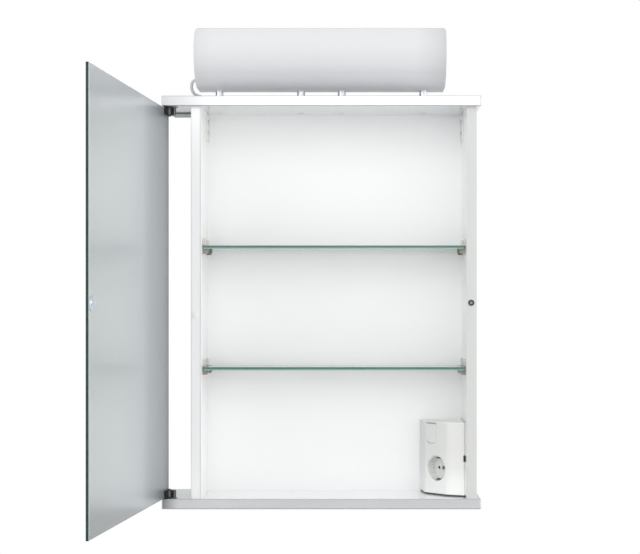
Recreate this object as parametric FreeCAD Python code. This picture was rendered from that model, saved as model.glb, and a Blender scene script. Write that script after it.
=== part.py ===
import FreeCAD, Part
import math
import os

from FreeCAD import Vector, Matrix

os.makedirs("parts", exist_ok=True)

# Mirror cabinet for hanging on a wall: two wide boards, two side panels, a back panel, a mirror door that turns on
# corner pivots, two glass shelves, a lamp on four posts and a socket box in the lower right rear corner.
#
# The numbers below are laid out in a working frame: X from the middle of the boards, D the depth behind the boards'
# front edge (the wall is at D = BOARD_D) and H the height above the bottom board's lower face. Every piece is moved
# at the end so that the origin is midway between the two hanger eyes, on the wall.

# --- driving dimensions, mm ---
BOARD_W = 500.0
BOARD_D = 142.0
BOARD_T = 16.0
BODY_H = 647.2
EDGE_R = 1.2
CORNER_R = 2.0

SIDE_T = 16.0
LEFT_OUT = -205.0
RIGHT_OUT = 244.0
SIDE_FRONT = 8.0
BACK_T = 3.0
BACK_D = 126.0
GROOVE = 6.0

HOLE_ROWS = (38.0, 102.0)
HOLE_R = 2.5
HOLE_DEPTH = 10.0
HOLE_H0 = 152.0
HOLE_PITCH = 64.0
HOLE_COUNT = 6

GLASS_T = 3.6
DOOR_BACK_T = 1.0
DOOR_GAP_LOW = 0.3
DOOR_GAP_UP = 2.3
DOOR_X0 = -248.0
DOOR_X1 = 250.0
DOOR_D0 = 0.8
PIVOT_X = -232.6
PIVOT_D = 16.7
DOOR_OPEN = 95.1
PIN_R = 2.5
PIN_CLEAR = 0.05

SHELF_T = 5.0
SHELF_X0 = -187.0
SHELF_X1 = 226.0
SHELF_D0 = 22.0
SHELF_D1 = 122.0
SHELF_HOLES = (1, 4)
LEDGE_H = 7.4
LEDGE_L = 9.1
HEAD_L = 3.4

CATCH_X = 235.0
CATCH_H = 323.1
BUMPER_X = -198.8
BUMPER_H = 303.9

LAMP_X0 = -201.7
LAMP_X1 = 197.0
LAMP_GAP = 21.0
LAMP_MID_H = 722.0
LAMP_TOP_H = 763.0
LAMP_FRONT_D = 17.0
LAMP_LOW_D = 50.0
LAMP_LOW_N = 3.2
LAMP_HIGH_D = 62.0
LAMP_BACK_D = 118.0
LAMP_WALL = 2.0
POST_R = 6.25
POST_D = 96.5
POST_X = (-167.4, -35.0, 31.0, 163.4)

LEAD_R = 2.5

BOX_H0 = 18.5
BOX_H1 = 133.0
BOX_WALL = 2.0
BOX_PLAN = ((159.0, 126.0), (164.7, 78.0), (198.8, 40.0), (226.2, 27.3))
SOCKET_H = 58.0
SOCKET_R = 19.5
SWITCH_S = -10.2
SWITCH_H = 114.3
SWITCH_TILT = 5.0

EYE_INSET = 12.0
EYE_H = 598.0
EYE_R = 4.0

LEFT_IN = LEFT_OUT + SIDE_T
RIGHT_IN = RIGHT_OUT - SIDE_T
TOP_H = BODY_H - BOARD_T
ORIGIN = Vector((LEFT_IN + RIGHT_IN) / 2, BOARD_D, EYE_H)

nodes = {}


def box(x0, x1, d0, d1, h0, h1):
    return Part.makeBox(x1 - x0, d1 - d0, h1 - h0, Vector(x0, d0, h0))


def cyl(x, d, h, r, length, along=(0, 0, 1)):
    return Part.makeCylinder(r, length, Vector(x, d, h), Vector(*along))


def cone(x, d, h, r0, r1, length, along=(0, 0, 1)):
    return Part.makeCone(r0, r1, length, Vector(x, d, h), Vector(*along))


def fuse(*shapes):
    flat = list(shapes)
    out = flat[0].fuse(flat[1:]) if len(flat) > 1 else flat[0]
    return out.removeSplitter()


def cut(shape, *tools):
    return shape.cut(list(tools)) if tools else shape


def edges_where(shape, test):
    return [e for e in shape.Edges if test(e)]


def along_axis(edge, axis):
    a, b = edge.Vertexes[0].Point, edge.Vertexes[-1].Point
    v = b.sub(a)
    return v.Length > 1e-6 and abs(v.dot(Vector(*axis))) > 0.999 * v.Length


def rounded_box(x0, x1, d0, d1, h0, h1, r, axes=((1, 0, 0), (0, 1, 0), (0, 0, 1))):
    b = box(x0, x1, d0, d1, h0, h1)
    chosen = [e for e in b.Edges if any(along_axis(e, a) for a in axes)]
    return b.makeFillet(r, chosen)


def rounded_wire(points, radii, plane, level):
    """Closed outline of straight sides with an arc at each corner. plane says where the two numbers go."""

    def to3(p):
        if plane == "xd":
            return Vector(p[0], p[1], level)
        if plane == "xh":
            return Vector(p[0], level, p[1])
        return Vector(level, p[0], p[1])

    n = len(points)
    starts, arcs = [], []
    for i in range(n):
        a, b, c = points[i - 1], points[i], points[(i + 1) % n]
        r = radii[i]
        va = ((a[0] - b[0]), (a[1] - b[1]))
        vc = ((c[0] - b[0]), (c[1] - b[1]))
        la, lc = math.hypot(*va), math.hypot(*vc)
        ua, uc = (va[0] / la, va[1] / la), (vc[0] / lc, vc[1] / lc)
        if r <= 0:
            starts.append((b, b, None))
            continue
        ang = math.acos(max(-1, min(1, ua[0] * uc[0] + ua[1] * uc[1])))
        t = r / math.tan(ang / 2)
        p0 = (b[0] + ua[0] * t, b[1] + ua[1] * t)
        p1 = (b[0] + uc[0] * t, b[1] + uc[1] * t)
        bis = (ua[0] + uc[0], ua[1] + uc[1])
        bl = math.hypot(*bis)
        m = r / math.sin(ang / 2) - r
        mid = (b[0] + bis[0] / bl * m, b[1] + bis[1] / bl * m)
        starts.append((p0, p1, mid))
    edges = []
    for i in range(n):
        p0, p1, mid = starts[i]
        if mid is not None:
            edges.append(Part.Arc(to3(p0), to3(mid), to3(p1)).toShape())
        nxt = starts[(i + 1) % n][0]
        if math.hypot(nxt[0] - p1[0], nxt[1] - p1[1]) > 1e-6:
            edges.append(Part.LineSegment(to3(p1), to3(nxt)).toShape())
    return Part.Wire(edges)


def prism(points, radii, plane, lo, hi):
    wire = rounded_wire(points, radii, plane, lo)
    v = {
        "xd": Vector(0, 0, hi - lo),
        "xh": Vector(0, hi - lo, 0),
        "dh": Vector(hi - lo, 0, 0),
    }[plane]
    return Part.Face(wire).extrude(v)


def inset(points, distances):
    """The outline moved inward side by side. distances[i] belongs to the side from point i to point i + 1."""
    n = len(points)
    area = sum(
        points[i][0] * points[(i + 1) % n][1] - points[(i + 1) % n][0] * points[i][1]
        for i in range(n)
    )
    sign = 1.0 if area > 0 else -1.0
    lines = []
    for i in range(n):
        (x0, y0), (x1, y1) = points[i], points[(i + 1) % n]
        dx, dy = x1 - x0, y1 - y0
        ln = math.hypot(dx, dy)
        nx, ny = -dy / ln * sign, dx / ln * sign
        lines.append(
            ((x0 + nx * distances[i], y0 + ny * distances[i]), (dx / ln, dy / ln))
        )
    out = []
    for i in range(n):
        (p, u), (q, v) = lines[i - 1], lines[i]
        den = u[0] * v[1] - u[1] * v[0]
        t = ((q[0] - p[0]) * v[1] - (q[1] - p[1]) * v[0]) / den
        out.append((p[0] + u[0] * t, p[1] + u[1] * t))
    return out


def turned(shape, point, axis, degrees):
    s = shape.copy()
    s.rotate(Vector(*point), Vector(*axis), degrees)
    return s


def group(shapes):
    return Part.makeCompound(shapes)


# --- boards ---
GROOVE_X0, GROOVE_X1 = LEFT_IN - GROOVE, RIGHT_IN + GROOVE
DOWEL_R, DOWEL_L = 4.0, 30.0
DOWEL_D = (28.0, 112.0)
SCREW_D = (50.0, 92.0)
SIDE_MID = (LEFT_OUT + SIDE_T / 2, RIGHT_OUT - SIDE_T / 2)
LEAD_X, LEAD_D = -182.0, 135.5
GROMMET_R = 4.5
BUSH_R = 4.0
BUSH_DEPTH = 10.0


def board(h0, inner):
    """A board. inner is +1 when its inner face looks down and -1 when it looks up."""
    h1 = h0 + BOARD_T
    b = box(-BOARD_W / 2, BOARD_W / 2, 0, BOARD_D, h0, h1)
    b = b.makeFillet(
        CORNER_R, [e for e in b.Edges if along_axis(e, (0, 0, 1)) and e.CenterOfMass.y < 1.0]
    )
    b = b.makeFillet(
        EDGE_R,
        [
            e
            for e in b.Edges
            if abs(e.BoundBox.ZMax - e.BoundBox.ZMin) < 0.01 and e.CenterOfMass.y < BOARD_D - 0.01
        ],
    )
    face = h0 if inner > 0 else h1
    tools = []
    g0, g1 = (face, face + GROOVE) if inner > 0 else (face - GROOVE, face)
    tools.append(box(GROOVE_X0, GROOVE_X1, BACK_D, BACK_D + BACK_T, g0, g1))
    for x in SIDE_MID:
        for d in DOWEL_D:
            tools.append(cyl(x, d, face if inner > 0 else face - 10, DOWEL_R, 10))
        for d in SCREW_D:
            tools.append(cyl(x, d, h0, 3.5, BOARD_T))
            outer = h1 - 3.0 if inner > 0 else h0
            tools.append(cyl(x, d, outer, 5.0, 3.0))
    tools.append(
        cyl(
            PIVOT_X, PIVOT_D, face if inner > 0 else face - BUSH_DEPTH, BUSH_R, BUSH_DEPTH
        )
    )
    if inner > 0:
        for x in POST_X:
            tools.append(cyl(x, POST_D, h0, 2.25, BOARD_T))
            tools.append(cyl(x, POST_D, h0, 4.5, 3.2))
        tools.append(cyl(LEAD_X, LEAD_D, h0, GROMMET_R, BOARD_T))
    return cut(b, *tools)


nodes["top_board"] = board(TOP_H, 1)
nodes["bottom_board"] = board(0, -1)


# --- side panels, with the shelf-pin holes, the groove for the back panel and the joints to the boards ---
def side(x0, inner_face):
    x1 = x0 + SIDE_T
    s = rounded_box(
        x0, x1, SIDE_FRONT, BOARD_D, BOARD_T, TOP_H, EDGE_R, axes=((0, 0, 1),)
    )
    inward = 1 if inner_face > x0 + 1 else -1
    tools = []
    gx = (inner_face - GROOVE, inner_face) if inward > 0 else (inner_face, inner_face + GROOVE)
    tools.append(box(gx[0], gx[1], BACK_D, BACK_D + BACK_T, BOARD_T, TOP_H))
    for d in HOLE_ROWS:
        for k in range(HOLE_COUNT):
            h = HOLE_H0 + HOLE_PITCH * k
            tools.append(
                cyl(inner_face, d, h, HOLE_R, HOLE_DEPTH, (-inward, 0, 0))
            )
    mid = x0 + SIDE_T / 2
    for d in DOWEL_D:
        tools.append(cyl(mid, d, BOARD_T, DOWEL_R, 20))
        tools.append(cyl(mid, d, TOP_H - 20, DOWEL_R, 20))
    for d in SCREW_D:
        tools.append(cyl(mid, d, BOARD_T, 2.5, 37))
        tools.append(cyl(mid, d, TOP_H - 37, 2.5, 37))
    for d, h in HANGER_SCREWS:
        tools.append(cyl(inner_face, d, h, 1.6, 12, (-inward, 0, 0)))
    return s, tools


HANGER_SCREWS = ((101.0, 600.0), (101.0, 618.0))
left, left_tools = side(LEFT_OUT, LEFT_IN)
right, right_tools = side(RIGHT_OUT - SIDE_T, RIGHT_IN)
right_tools.append(cyl(CATCH_X, SIDE_FRONT, CATCH_H, 3.8, 18, (0, 1, 0)))
left_tools.append(cyl(BUMPER_X, SIDE_FRONT, BUMPER_H, 1.5, 8, (0, 1, 0)))
BOX_SCREWS_SIDE = ((60.0, 34.0), (60.0, 118.0))
for d, h in BOX_SCREWS_SIDE:
    right_tools.append(cyl(RIGHT_IN, d, h, 1.5, 10, (1, 0, 0)))
nodes["left_side_panel"] = cut(left, *left_tools)
nodes["right_side_panel"] = cut(right, *right_tools)

dowels = []
for x in SIDE_MID:
    for d in DOWEL_D:
        for h in (BOARD_T - 10, TOP_H - 20):
            pin = cyl(x, d, h, DOWEL_R, DOWEL_L)
            dowels.append(pin.makeChamfer(0.8, [e for e in pin.Edges if e.Closed]))
nodes["carcass_dowels"] = group(dowels)


def carcass_screw(x, d, h, up):
    """A joint screw: flat head in the board's counterbore, shank into the panel's end."""
    k = 1 if up else -1
    head = cyl(x, d, h, 4.9, 3.0, (0, 0, k))
    neck = cyl(x, d, h + 3.0 * k, 3.4, 13.0, (0, 0, k))
    shank = cyl(x, d, h + 16.0 * k, 2.5, 32.0, (0, 0, k))
    tip = cone(x, d, h + 48.0 * k, 2.5, 0.6, 3.0, (0, 0, k))
    hexa = Part.Face(
        Part.makePolygon(
            [
                Vector(x + 2 * math.cos(math.radians(60 * i)), d + 2 * math.sin(math.radians(60 * i)), h)
                for i in range(7)
            ]
        )
    ).extrude(Vector(0, 0, 2.0 * k))
    return cut(fuse(head, neck, shank, tip), hexa)


screws = []
for x in SIDE_MID:
    for d in SCREW_D:
        screws.append(carcass_screw(x, d, 0, True))
        screws.append(carcass_screw(x, d, BODY_H, False))
nodes["carcass_screws"] = group(screws)

# --- back panel, held in the grooves; slots at the upper corners let the hangers through ---
MAINS_X, MAINS_H = 207.0, 40.0
ENTRY_X, ENTRY_H = 195.0, 97.0
back = box(GROOVE_X0, GROOVE_X1, BACK_D, BACK_D + BACK_T, BOARD_T - GROOVE, TOP_H + GROOVE)
back_tools = [
    box(GROOVE_X0 - 1, LEFT_IN + 2.4, BACK_D - 1, BACK_D + BACK_T + 1, 586, 629),
    box(RIGHT_IN - 2.4, GROOVE_X1 + 1, BACK_D - 1, BACK_D + BACK_T + 1, 586, 629),
    cyl(MAINS_X, BACK_D - 1, MAINS_H, 6.0, BACK_T + 2, (0, 1, 0)),
    cyl(ENTRY_X, BACK_D - 1, ENTRY_H, 4.5, BACK_T + 2, (0, 1, 0)),
]
BOX_SCREWS_BACK = ((180.0, 34.0), (180.0, 118.0))
for x, h in BOX_SCREWS_BACK:
    back_tools.append(cyl(x, BACK_D - 1, h, 1.5, BACK_T + 2, (0, 1, 0)))
nodes["back_panel"] = cut(back, *back_tools)


# --- hangers: angle plates on the inner faces of the sides, with an eye against the wall ---
def hanger(inner_face, inward):
    a, b = sorted((inner_face, inner_face + 2.0 * inward))
    leg = box(a, b, 92.0, 140.0, 588.0, 627.0)
    a, b = sorted((inner_face, inner_face + 24.0 * inward))
    ear = box(a, b, 140.0, 142.0, 588.0, 611.0)
    plate = fuse(leg, ear)
    corner = [
        e
        for e in plate.Edges
        if along_axis(e, (0, 1, 0))
        and abs(e.Vertexes[0].Point.x - (inner_face + 24.0 * inward)) < 0.01
    ]
    plate = plate.makeFillet(6.0, corner)
    front = [
        e
        for e in plate.Edges
        if along_axis(e, (1, 0, 0)) and abs(e.Vertexes[0].Point.y - 92.0) < 0.01
    ]
    plate = plate.makeFillet(5.0, front)
    tools = [cyl(inner_face + EYE_INSET * inward, 139.0, EYE_H, EYE_R, 4.0, (0, 1, 0))]
    for d, h in HANGER_SCREWS:
        tools.append(cyl(inner_face, d, h, 1.9, 2.0, (inward, 0, 0)))
    return cut(plate, *tools)


nodes["left_hanger"] = hanger(LEFT_IN, 1)
nodes["right_hanger"] = hanger(RIGHT_IN, -1)


def small_screw(p, direction, head_r, head_t, shank_r, shank_l):
    """Pan-head screw. p is the underside of the head, direction points from the head to the tip."""
    v = Vector(*direction).normalize()
    top = Vector(*p).sub(v * head_t)
    head = Part.makeCylinder(head_r, head_t, top, v)
    rim = [
        e
        for e in head.Edges
        if e.Closed and abs(e.CenterOfMass.sub(top).Length) < 0.01
    ]
    head = head.makeFillet(min(head_t * 0.6, head_r * 0.5), rim)
    slot_w, slot_l, slot_d = head_r * 0.28, head_r * 1.15, head_t * 0.5
    shank = Part.makeCylinder(shank_r, shank_l, Vector(*p), v)
    tip = Part.makeCone(shank_r, shank_r * 0.2, shank_r * 1.6, Vector(*p).add(v * shank_l), v)
    body = fuse(head, shank, tip)
    side_v = v.cross(Vector(0, 0, 1))
    if side_v.Length < 0.1:
        side_v = Vector(1, 0, 0)
    side_v.normalize()
    up_v = v.cross(side_v)
    tools = []
    for a, b in ((side_v, up_v), (up_v, side_v)):
        p0 = top.sub(v * 0.5).sub(a * (slot_l / 2)).sub(b * (slot_w / 2))
        f = Part.Face(
            Part.makePolygon(
                [p0, p0.add(a * slot_l), p0.add(a * slot_l).add(b * slot_w), p0.add(b * slot_w), p0]
            )
        )
        tools.append(f.extrude(v * (slot_d + 0.5)))
    return cut(body, *tools)


hs = []
for d, h in HANGER_SCREWS:
    hs.append(small_screw((LEFT_IN + 2.0, d, h), (-1, 0, 0), 3.4, 2.0, 1.6, 10.0))
    hs.append(small_screw((RIGHT_IN - 2.0, d, h), (1, 0, 0), 3.4, 2.0, 1.6, 10.0))
nodes["hanger_screws"] = group(hs)

# --- door, drawn closed and then turned open about the pivot ---
door_nodes = {}
DOOR_H0, DOOR_H1 = BOARD_T + DOOR_GAP_LOW, TOP_H - DOOR_GAP_UP
DOOR_D1 = DOOR_D0 + GLASS_T
DOOR_D2 = DOOR_D1 + DOOR_BACK_T
glass = box(DOOR_X0, DOOR_X1, DOOR_D0, DOOR_D1, DOOR_H0, DOOR_H1)
glass = glass.makeChamfer(0.4, glass.Edges)
door_nodes["door_mirror_glass"] = glass
STRIKE_X, STRIKE_L, STRIKE_W, STRIKE_H = 235.2, 25.4, 20.0, 319.6
door_nodes["door_backing"] = box(
    DOOR_X0 + 0.8, DOOR_X1 - 0.8, DOOR_D1, DOOR_D2, DOOR_H0 + 0.8, DOOR_H1 - 0.8
)
strike = prism(
    [
        (STRIKE_X - STRIKE_L / 2, STRIKE_H - STRIKE_W / 2),
        (STRIKE_X + STRIKE_L / 2, STRIKE_H - STRIKE_W / 2),
        (STRIKE_X + STRIKE_L / 2, STRIKE_H + STRIKE_W / 2),
        (STRIKE_X - STRIKE_L / 2, STRIKE_H + STRIKE_W / 2),
    ],
    [9.99] * 4,
    "xh",
    DOOR_D2,
    DOOR_D2 + 1.1,
)
rim = [e for e in strike.Edges if abs(e.CenterOfMass.y - (DOOR_D2 + 1.1)) < 0.01]
strike = strike.makeFillet(0.5, rim)
door_nodes["strike_plate"] = strike

# corner hinge: a clamp that grips the glass from the door's end, with an ear to the pivot behind the glass
JAW_L = 36.0
JAW_SCREW_X = DOOR_X0 + 29.0
PAD_F, PAD_B = 0.3, 0.5
JAW_F0 = DOOR_D0 - PAD_F - 1.2
JAW_B0 = DOOR_D2 + PAD_B
JAW_B1 = JAW_B0 + 3.0
BARREL_R = 3.6
CLAMPS = ((BOARD_T + 0.9, BOARD_T + 12.4), (TOP_H - 12.8, TOP_H - 1.2))


def overlap(lo, hi):
    """The part of a clamp's height that has glass in it."""
    return max(lo, DOOR_H0), min(hi, DOOR_H1)


def clamp(lo, hi):
    web = box(DOOR_X0 - 1.5, DOOR_X0, JAW_F0, JAW_B1, lo, hi)
    front_jaw = box(DOOR_X0, DOOR_X0 + JAW_L, JAW_F0, JAW_F0 + 1.2, lo, hi)
    back_jaw = box(DOOR_X0, DOOR_X0 + JAW_L, JAW_B0, JAW_B1, lo, hi)
    back_jaw = back_jaw.makeFillet(
        1.2,
        [
            e
            for e in back_jaw.Edges
            if e.CenterOfMass.x > DOOR_X0 + JAW_L - 0.1 and e.CenterOfMass.y > JAW_B1 - 0.1
        ],
    )
    ear = prism(
        [
            (PIVOT_X - 6.0, JAW_B1 - 0.5),
            (PIVOT_X + 6.0, JAW_B1 - 0.5),
            (PIVOT_X + 4.6, PIVOT_D + 0.6),
            (PIVOT_X - 4.6, PIVOT_D + 0.6),
        ],
        [0, 0, 0.8, 0.8],
        "xd",
        lo,
        hi,
    )
    body = fuse(web, front_jaw, back_jaw, ear)
    tools = [
        cyl(PIVOT_X, PIVOT_D, lo - 1, BARREL_R, hi - lo + 2),
        cyl(JAW_SCREW_X, JAW_B0 - 0.1, (lo + hi) / 2, 2.0, 3.2, (0, 1, 0)),
    ]
    return cut(body, *tools)


def pads(lo, hi):
    lo, hi = overlap(lo, hi)
    return group(
        [
            box(DOOR_X0 + 1, DOOR_X0 + JAW_L - 1, DOOR_D0 - PAD_F, DOOR_D0, lo + 1, hi - 1),
            box(DOOR_X0 + 2, DOOR_X0 + JAW_L - 1, DOOR_D2, DOOR_D2 + PAD_B, lo + 1, hi - 1),
        ]
    )


def jaw_screw(lo, hi):
    h = (lo + hi) / 2
    s = cyl(JAW_SCREW_X, JAW_B0, h, 2.0, 3.6, (0, 1, 0))
    hexa = Part.Face(
        Part.makePolygon(
            [
                Vector(
                    JAW_SCREW_X + 1.1 * math.cos(math.radians(60 * i)),
                    JAW_B0 + 3.6,
                    h + 1.1 * math.sin(math.radians(60 * i)),
                )
                for i in range(7)
            ]
        )
    ).extrude(Vector(0, -1.8, 0))
    return cut(s, hexa)


(LOW_LO, LOW_HI), (UP_LO, UP_HI) = CLAMPS
door_nodes["upper_hinge_clamp"] = clamp(UP_LO, UP_HI)
door_nodes["lower_hinge_clamp"] = clamp(LOW_LO, LOW_HI)
door_nodes["hinge_pads"] = group([s for c in CLAMPS for s in pads(*c).Solids])
door_nodes["hinge_screws"] = group([jaw_screw(*c) for c in CLAMPS])
PIN_IN = 8.0


def pivot_pin(lo, hi, tip, k):
    """Barrel in the clamp's seat and a thinner journal into the board. k is +1 when the journal points up."""
    barrel = cyl(PIVOT_X, PIVOT_D, lo, BARREL_R, hi - lo)
    barrel = barrel.makeChamfer(0.5, [e for e in barrel.Edges if e.Closed])
    start = hi if k > 0 else lo
    journal = cyl(PIVOT_X, PIVOT_D, min(start - 2.0 * k, tip), PIN_R, abs(tip - start) + 2.0)
    journal = journal.makeChamfer(
        0.5, [e for e in journal.Edges if e.Closed and abs(e.CenterOfMass.z - tip) < 0.01]
    )
    return fuse(barrel, journal)


up_pin = pivot_pin(UP_LO, UP_HI, TOP_H + PIN_IN, 1)
low_pin = pivot_pin(LOW_LO, LOW_HI, BOARD_T - PIN_IN, -1)
door_nodes["upper_pivot_pin"] = up_pin
door_nodes["lower_pivot_pin"] = low_pin
for name, shape in door_nodes.items():
    nodes[name] = turned(shape, (PIVOT_X, PIVOT_D, 0), (0, 0, 1), -DOOR_OPEN)


def bushing(face, k, rim):
    """Flanged bush in a board: barrel in the board, flange on its inner face. k points into the board."""
    barrel = cyl(PIVOT_X, PIVOT_D, face, BUSH_R, BUSH_DEPTH, (0, 0, k))
    flange = cyl(PIVOT_X, PIVOT_D, face - rim * k, 6.0, rim, (0, 0, k))
    bore = cyl(PIVOT_X, PIVOT_D, face - 2.0 * k, PIN_R + PIN_CLEAR, 2.0 + PIN_IN + 0.5, (0, 0, k))
    return cut(fuse(barrel, flange), bore)


nodes["upper_pivot_bushing"] = bushing(TOP_H, 1, 1.0)
nodes["lower_pivot_bushing"] = bushing(BOARD_T, -1, 0.5)

# --- catch and bumper ---
sleeve = fuse(
    cyl(CATCH_X, SIDE_FRONT, CATCH_H, 3.8, 18, (0, 1, 0)),
    cyl(CATCH_X, SIDE_FRONT - 0.8, CATCH_H, 4.8, 0.8, (0, 1, 0)),
)
sleeve = cut(sleeve, cyl(CATCH_X, SIDE_FRONT - 1, CATCH_H, 2.1, 12, (0, 1, 0)))
nodes["catch_sleeve"] = sleeve
nodes["catch_magnet"] = cyl(CATCH_X, SIDE_FRONT - 1.0, CATCH_H, 2.1, 12, (0, 1, 0))
bump = fuse(
    cyl(BUMPER_X, SIDE_FRONT, BUMPER_H, 1.5, 8, (0, 1, 0)),
    cone(BUMPER_X, SIDE_FRONT - 2.0, BUMPER_H, 3.2, 3.9, 2.0, (0, 1, 0)),
)
nodes["door_bumper"] = bump

# --- glass shelves and their supports ---
supports = {"upper": [], "lower": []}
clamps = {"upper": [], "lower": []}
pins = []
for which, k in (("lower", SHELF_HOLES[0]), ("upper", SHELF_HOLES[1])):
    hole = HOLE_H0 + HOLE_PITCH * k
    g0 = hole + 0.5
    g1 = g0 + SHELF_T
    pane = rounded_box(SHELF_X0, SHELF_X1, SHELF_D0, SHELF_D1, g0, g1, 3.0, axes=((0, 0, 1),))
    pane = pane.makeChamfer(
        0.5, [e for e in pane.Edges if abs(e.BoundBox.ZMax - e.BoundBox.ZMin) < 0.01]
    )
    nodes[which + "_glass_shelf"] = pane
    for face, inward in ((LEFT_IN, 1), (RIGHT_IN, -1)):
        for d in HOLE_ROWS:
            a, b = sorted((face, face + 2.0 * inward))
            wall = box(a, b, d - 4.0, d + 4.0, g0 - LEDGE_H, g1 + 1.0)
            profile = [
                (face + 2.0 * inward, g0 - LEDGE_H),
                (face + 7.0 * inward, g0 - LEDGE_H),
                (face + LEDGE_L * inward, g0 - 3.6),
                (face + LEDGE_L * inward, g0),
                (face + 2.0 * inward, g0),
            ]
            ledge = prism(profile, [0, 2.0, 1.2, 0, 0], "xh", d - 4.0, d + 4.0)
            body = fuse(wall, ledge)
            body = cut(body, cyl(face, d, hole, HOLE_R, 2.0, (inward, 0, 0)))
            supports[which].append(body)
            a, b = sorted((face, face + HEAD_L * inward))
            head = prism(
                [(a, g1 + 1.0), (b, g1 + 1.0), (b, g1 + 12.0), (a, g1 + 12.0)],
                [0, 0, 2.0 if inward > 0 else 0.5, 0.5 if inward > 0 else 2.0],
                "xh",
                d - 4.0,
                d + 4.0,
            )
            a2, b2 = sorted((face + 2.0 * inward, face + 8.0 * inward))
            foot = box(a2, b2, d - 3.0, d + 3.0, g1, g1 + 1.0)
            clamps[which].append(fuse(head, foot))
            pins.append(cyl(face + 2.0 * inward, d, hole, HOLE_R, 10.0, (-inward, 0, 0)))
nodes["upper_shelf_supports"] = group(supports["upper"])
nodes["lower_shelf_supports"] = group(supports["lower"])
nodes["upper_shelf_clamps"] = group(clamps["upper"])
nodes["lower_shelf_clamps"] = group(clamps["lower"])
nodes["shelf_support_pins"] = group(pins)

# --- thin plate under the top board's left overhang, against the wall ---
PLATE_T = 1.7
plate = box(-245.0, -207.0, 92.0, 141.0, TOP_H - PLATE_T, TOP_H)
plate = plate.makeChamfer(0.3, [e for e in plate.Edges if abs(e.CenterOfMass.z - TOP_H + PLATE_T) < 0.01])
plate_screws = [small_screw((-226.0, d, TOP_H - PLATE_T), (0, 0, 1), 3.0, 1.2, 1.5, 9.0) for d in (104.0, 129.0)]
plate = cut(plate, *[cyl(-226.0, d, TOP_H - 3, 1.6, 4) for d in (104.0, 129.0)])
nodes["overhang_plate"] = plate
nodes["overhang_plate_screws"] = group(plate_screws)
nodes["top_board"] = cut(
    nodes["top_board"], *[cyl(-226.0, d, TOP_H, 1.5, 12) for d in (104.0, 129.0)]
)

# --- blank label ---
nodes["label_plate"] = rounded_box(
    162.0, 225.6, BACK_D - 0.35, BACK_D, 595.0, 629.5, 1.5, axes=((0, 1, 0),)
)


# --- lamp ---
def ellipse_points(cd, ch, ad, ah, t0, t1, n, power=2.0):
    """Points of an ellipse, or of a squarer curve where power is over 2."""
    out = []
    for i in range(n + 1):
        t = math.radians(t0 + (t1 - t0) * i / n)
        c, s = math.cos(t), math.sin(t)
        r = (abs(c) ** power + abs(s) ** power) ** (-1.0 / power)
        out.append((cd + ad * r * c, ch + ah * r * s))
    return out


def lamp_profile(x, wall, back):
    """The visor's section: flat top, front curve above, squarer front curve and a flat below, open towards the wall."""
    low_h = BODY_H + LAMP_GAP + wall
    top_h = LAMP_TOP_H - wall
    front = LAMP_FRONT_D + wall
    v = Vector
    low = ellipse_points(
        LAMP_LOW_D, LAMP_MID_H, LAMP_LOW_D - front, LAMP_MID_H - low_h, 270, 180, 16, LAMP_LOW_N
    )
    high = ellipse_points(LAMP_HIGH_D, LAMP_MID_H, LAMP_HIGH_D - front, top_h - LAMP_MID_H, 180, 90, 14)
    c_low = Part.BSplineCurve()
    c_low.interpolate(
        [v(x, d, h) for d, h in low],
        InitialTangent=v(0, -1, 0),
        FinalTangent=v(0, 0, 1),
    )
    c_high = Part.BSplineCurve()
    c_high.interpolate(
        [v(x, d, h) for d, h in high],
        InitialTangent=v(0, 0, 1),
        FinalTangent=v(0, 1, 0),
    )
    edges = [
        Part.LineSegment(v(x, back, low_h), v(x, LAMP_LOW_D, low_h)).toShape(),
        c_low.toShape(),
        c_high.toShape(),
        Part.LineSegment(v(x, LAMP_HIGH_D, top_h), v(x, back, top_h)).toShape(),
        Part.LineSegment(v(x, back, top_h), v(x, back, low_h)).toShape(),
    ]
    return Part.Wire(edges)


def lamp_solid(x0, x1, wall, back, r_top, r_low):
    body = Part.Face(lamp_profile(x0, wall, back)).extrude(Vector(x1 - x0, 0, 0))
    low_h, top_h = BODY_H + LAMP_GAP + wall, LAMP_TOP_H - wall
    frame = prism(
        [(x0, low_h), (x1, low_h), (x1, top_h), (x0, top_h)],
        [r_low, r_low, r_top, r_top],
        "xh",
        0.0,
        back + 5.0,
    )
    return body.common(frame)


GLAND_D, GLAND_H = 107.0, 687.0
outer = lamp_solid(LAMP_X0, LAMP_X1, 0.0, LAMP_BACK_D, 8.0, 3.0)
inner = lamp_solid(
    LAMP_X0 + LAMP_WALL, LAMP_X1 - LAMP_WALL, LAMP_WALL, LAMP_BACK_D + 4.0, 6.0, 1.5
)
SPIGOT_R = 3.2
TRAY_H = 678.0
TRAY_BACK_H = 731.0
shade = cut(outer, inner)
shade = cut(
    shade,
    *[cyl(x, POST_D, BODY_H + 10, SPIGOT_R, 30) for x in POST_X],
    cyl(LAMP_X0 - 1, GLAND_D, GLAND_H, 5.0, 4.0, (1, 0, 0)),
)
nodes["lamp_shade"] = shade.removeSplitter()

posts = []
for x in POST_X:
    shaft = cyl(x, POST_D, BODY_H, POST_R, 32.0)
    shaft = cut(shaft, outer)
    shaft = max(shaft.Solids, key=lambda s: -s.CenterOfMass.z)
    spigot = cyl(x, POST_D, BODY_H + 15.0, SPIGOT_R, TRAY_H - BODY_H - 15.0)
    post = fuse(shaft, spigot)
    posts.append(cut(post, cyl(x, POST_D, BODY_H, 2.0, TRAY_H - BODY_H)))
nodes["lamp_posts"] = group(posts)

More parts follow.
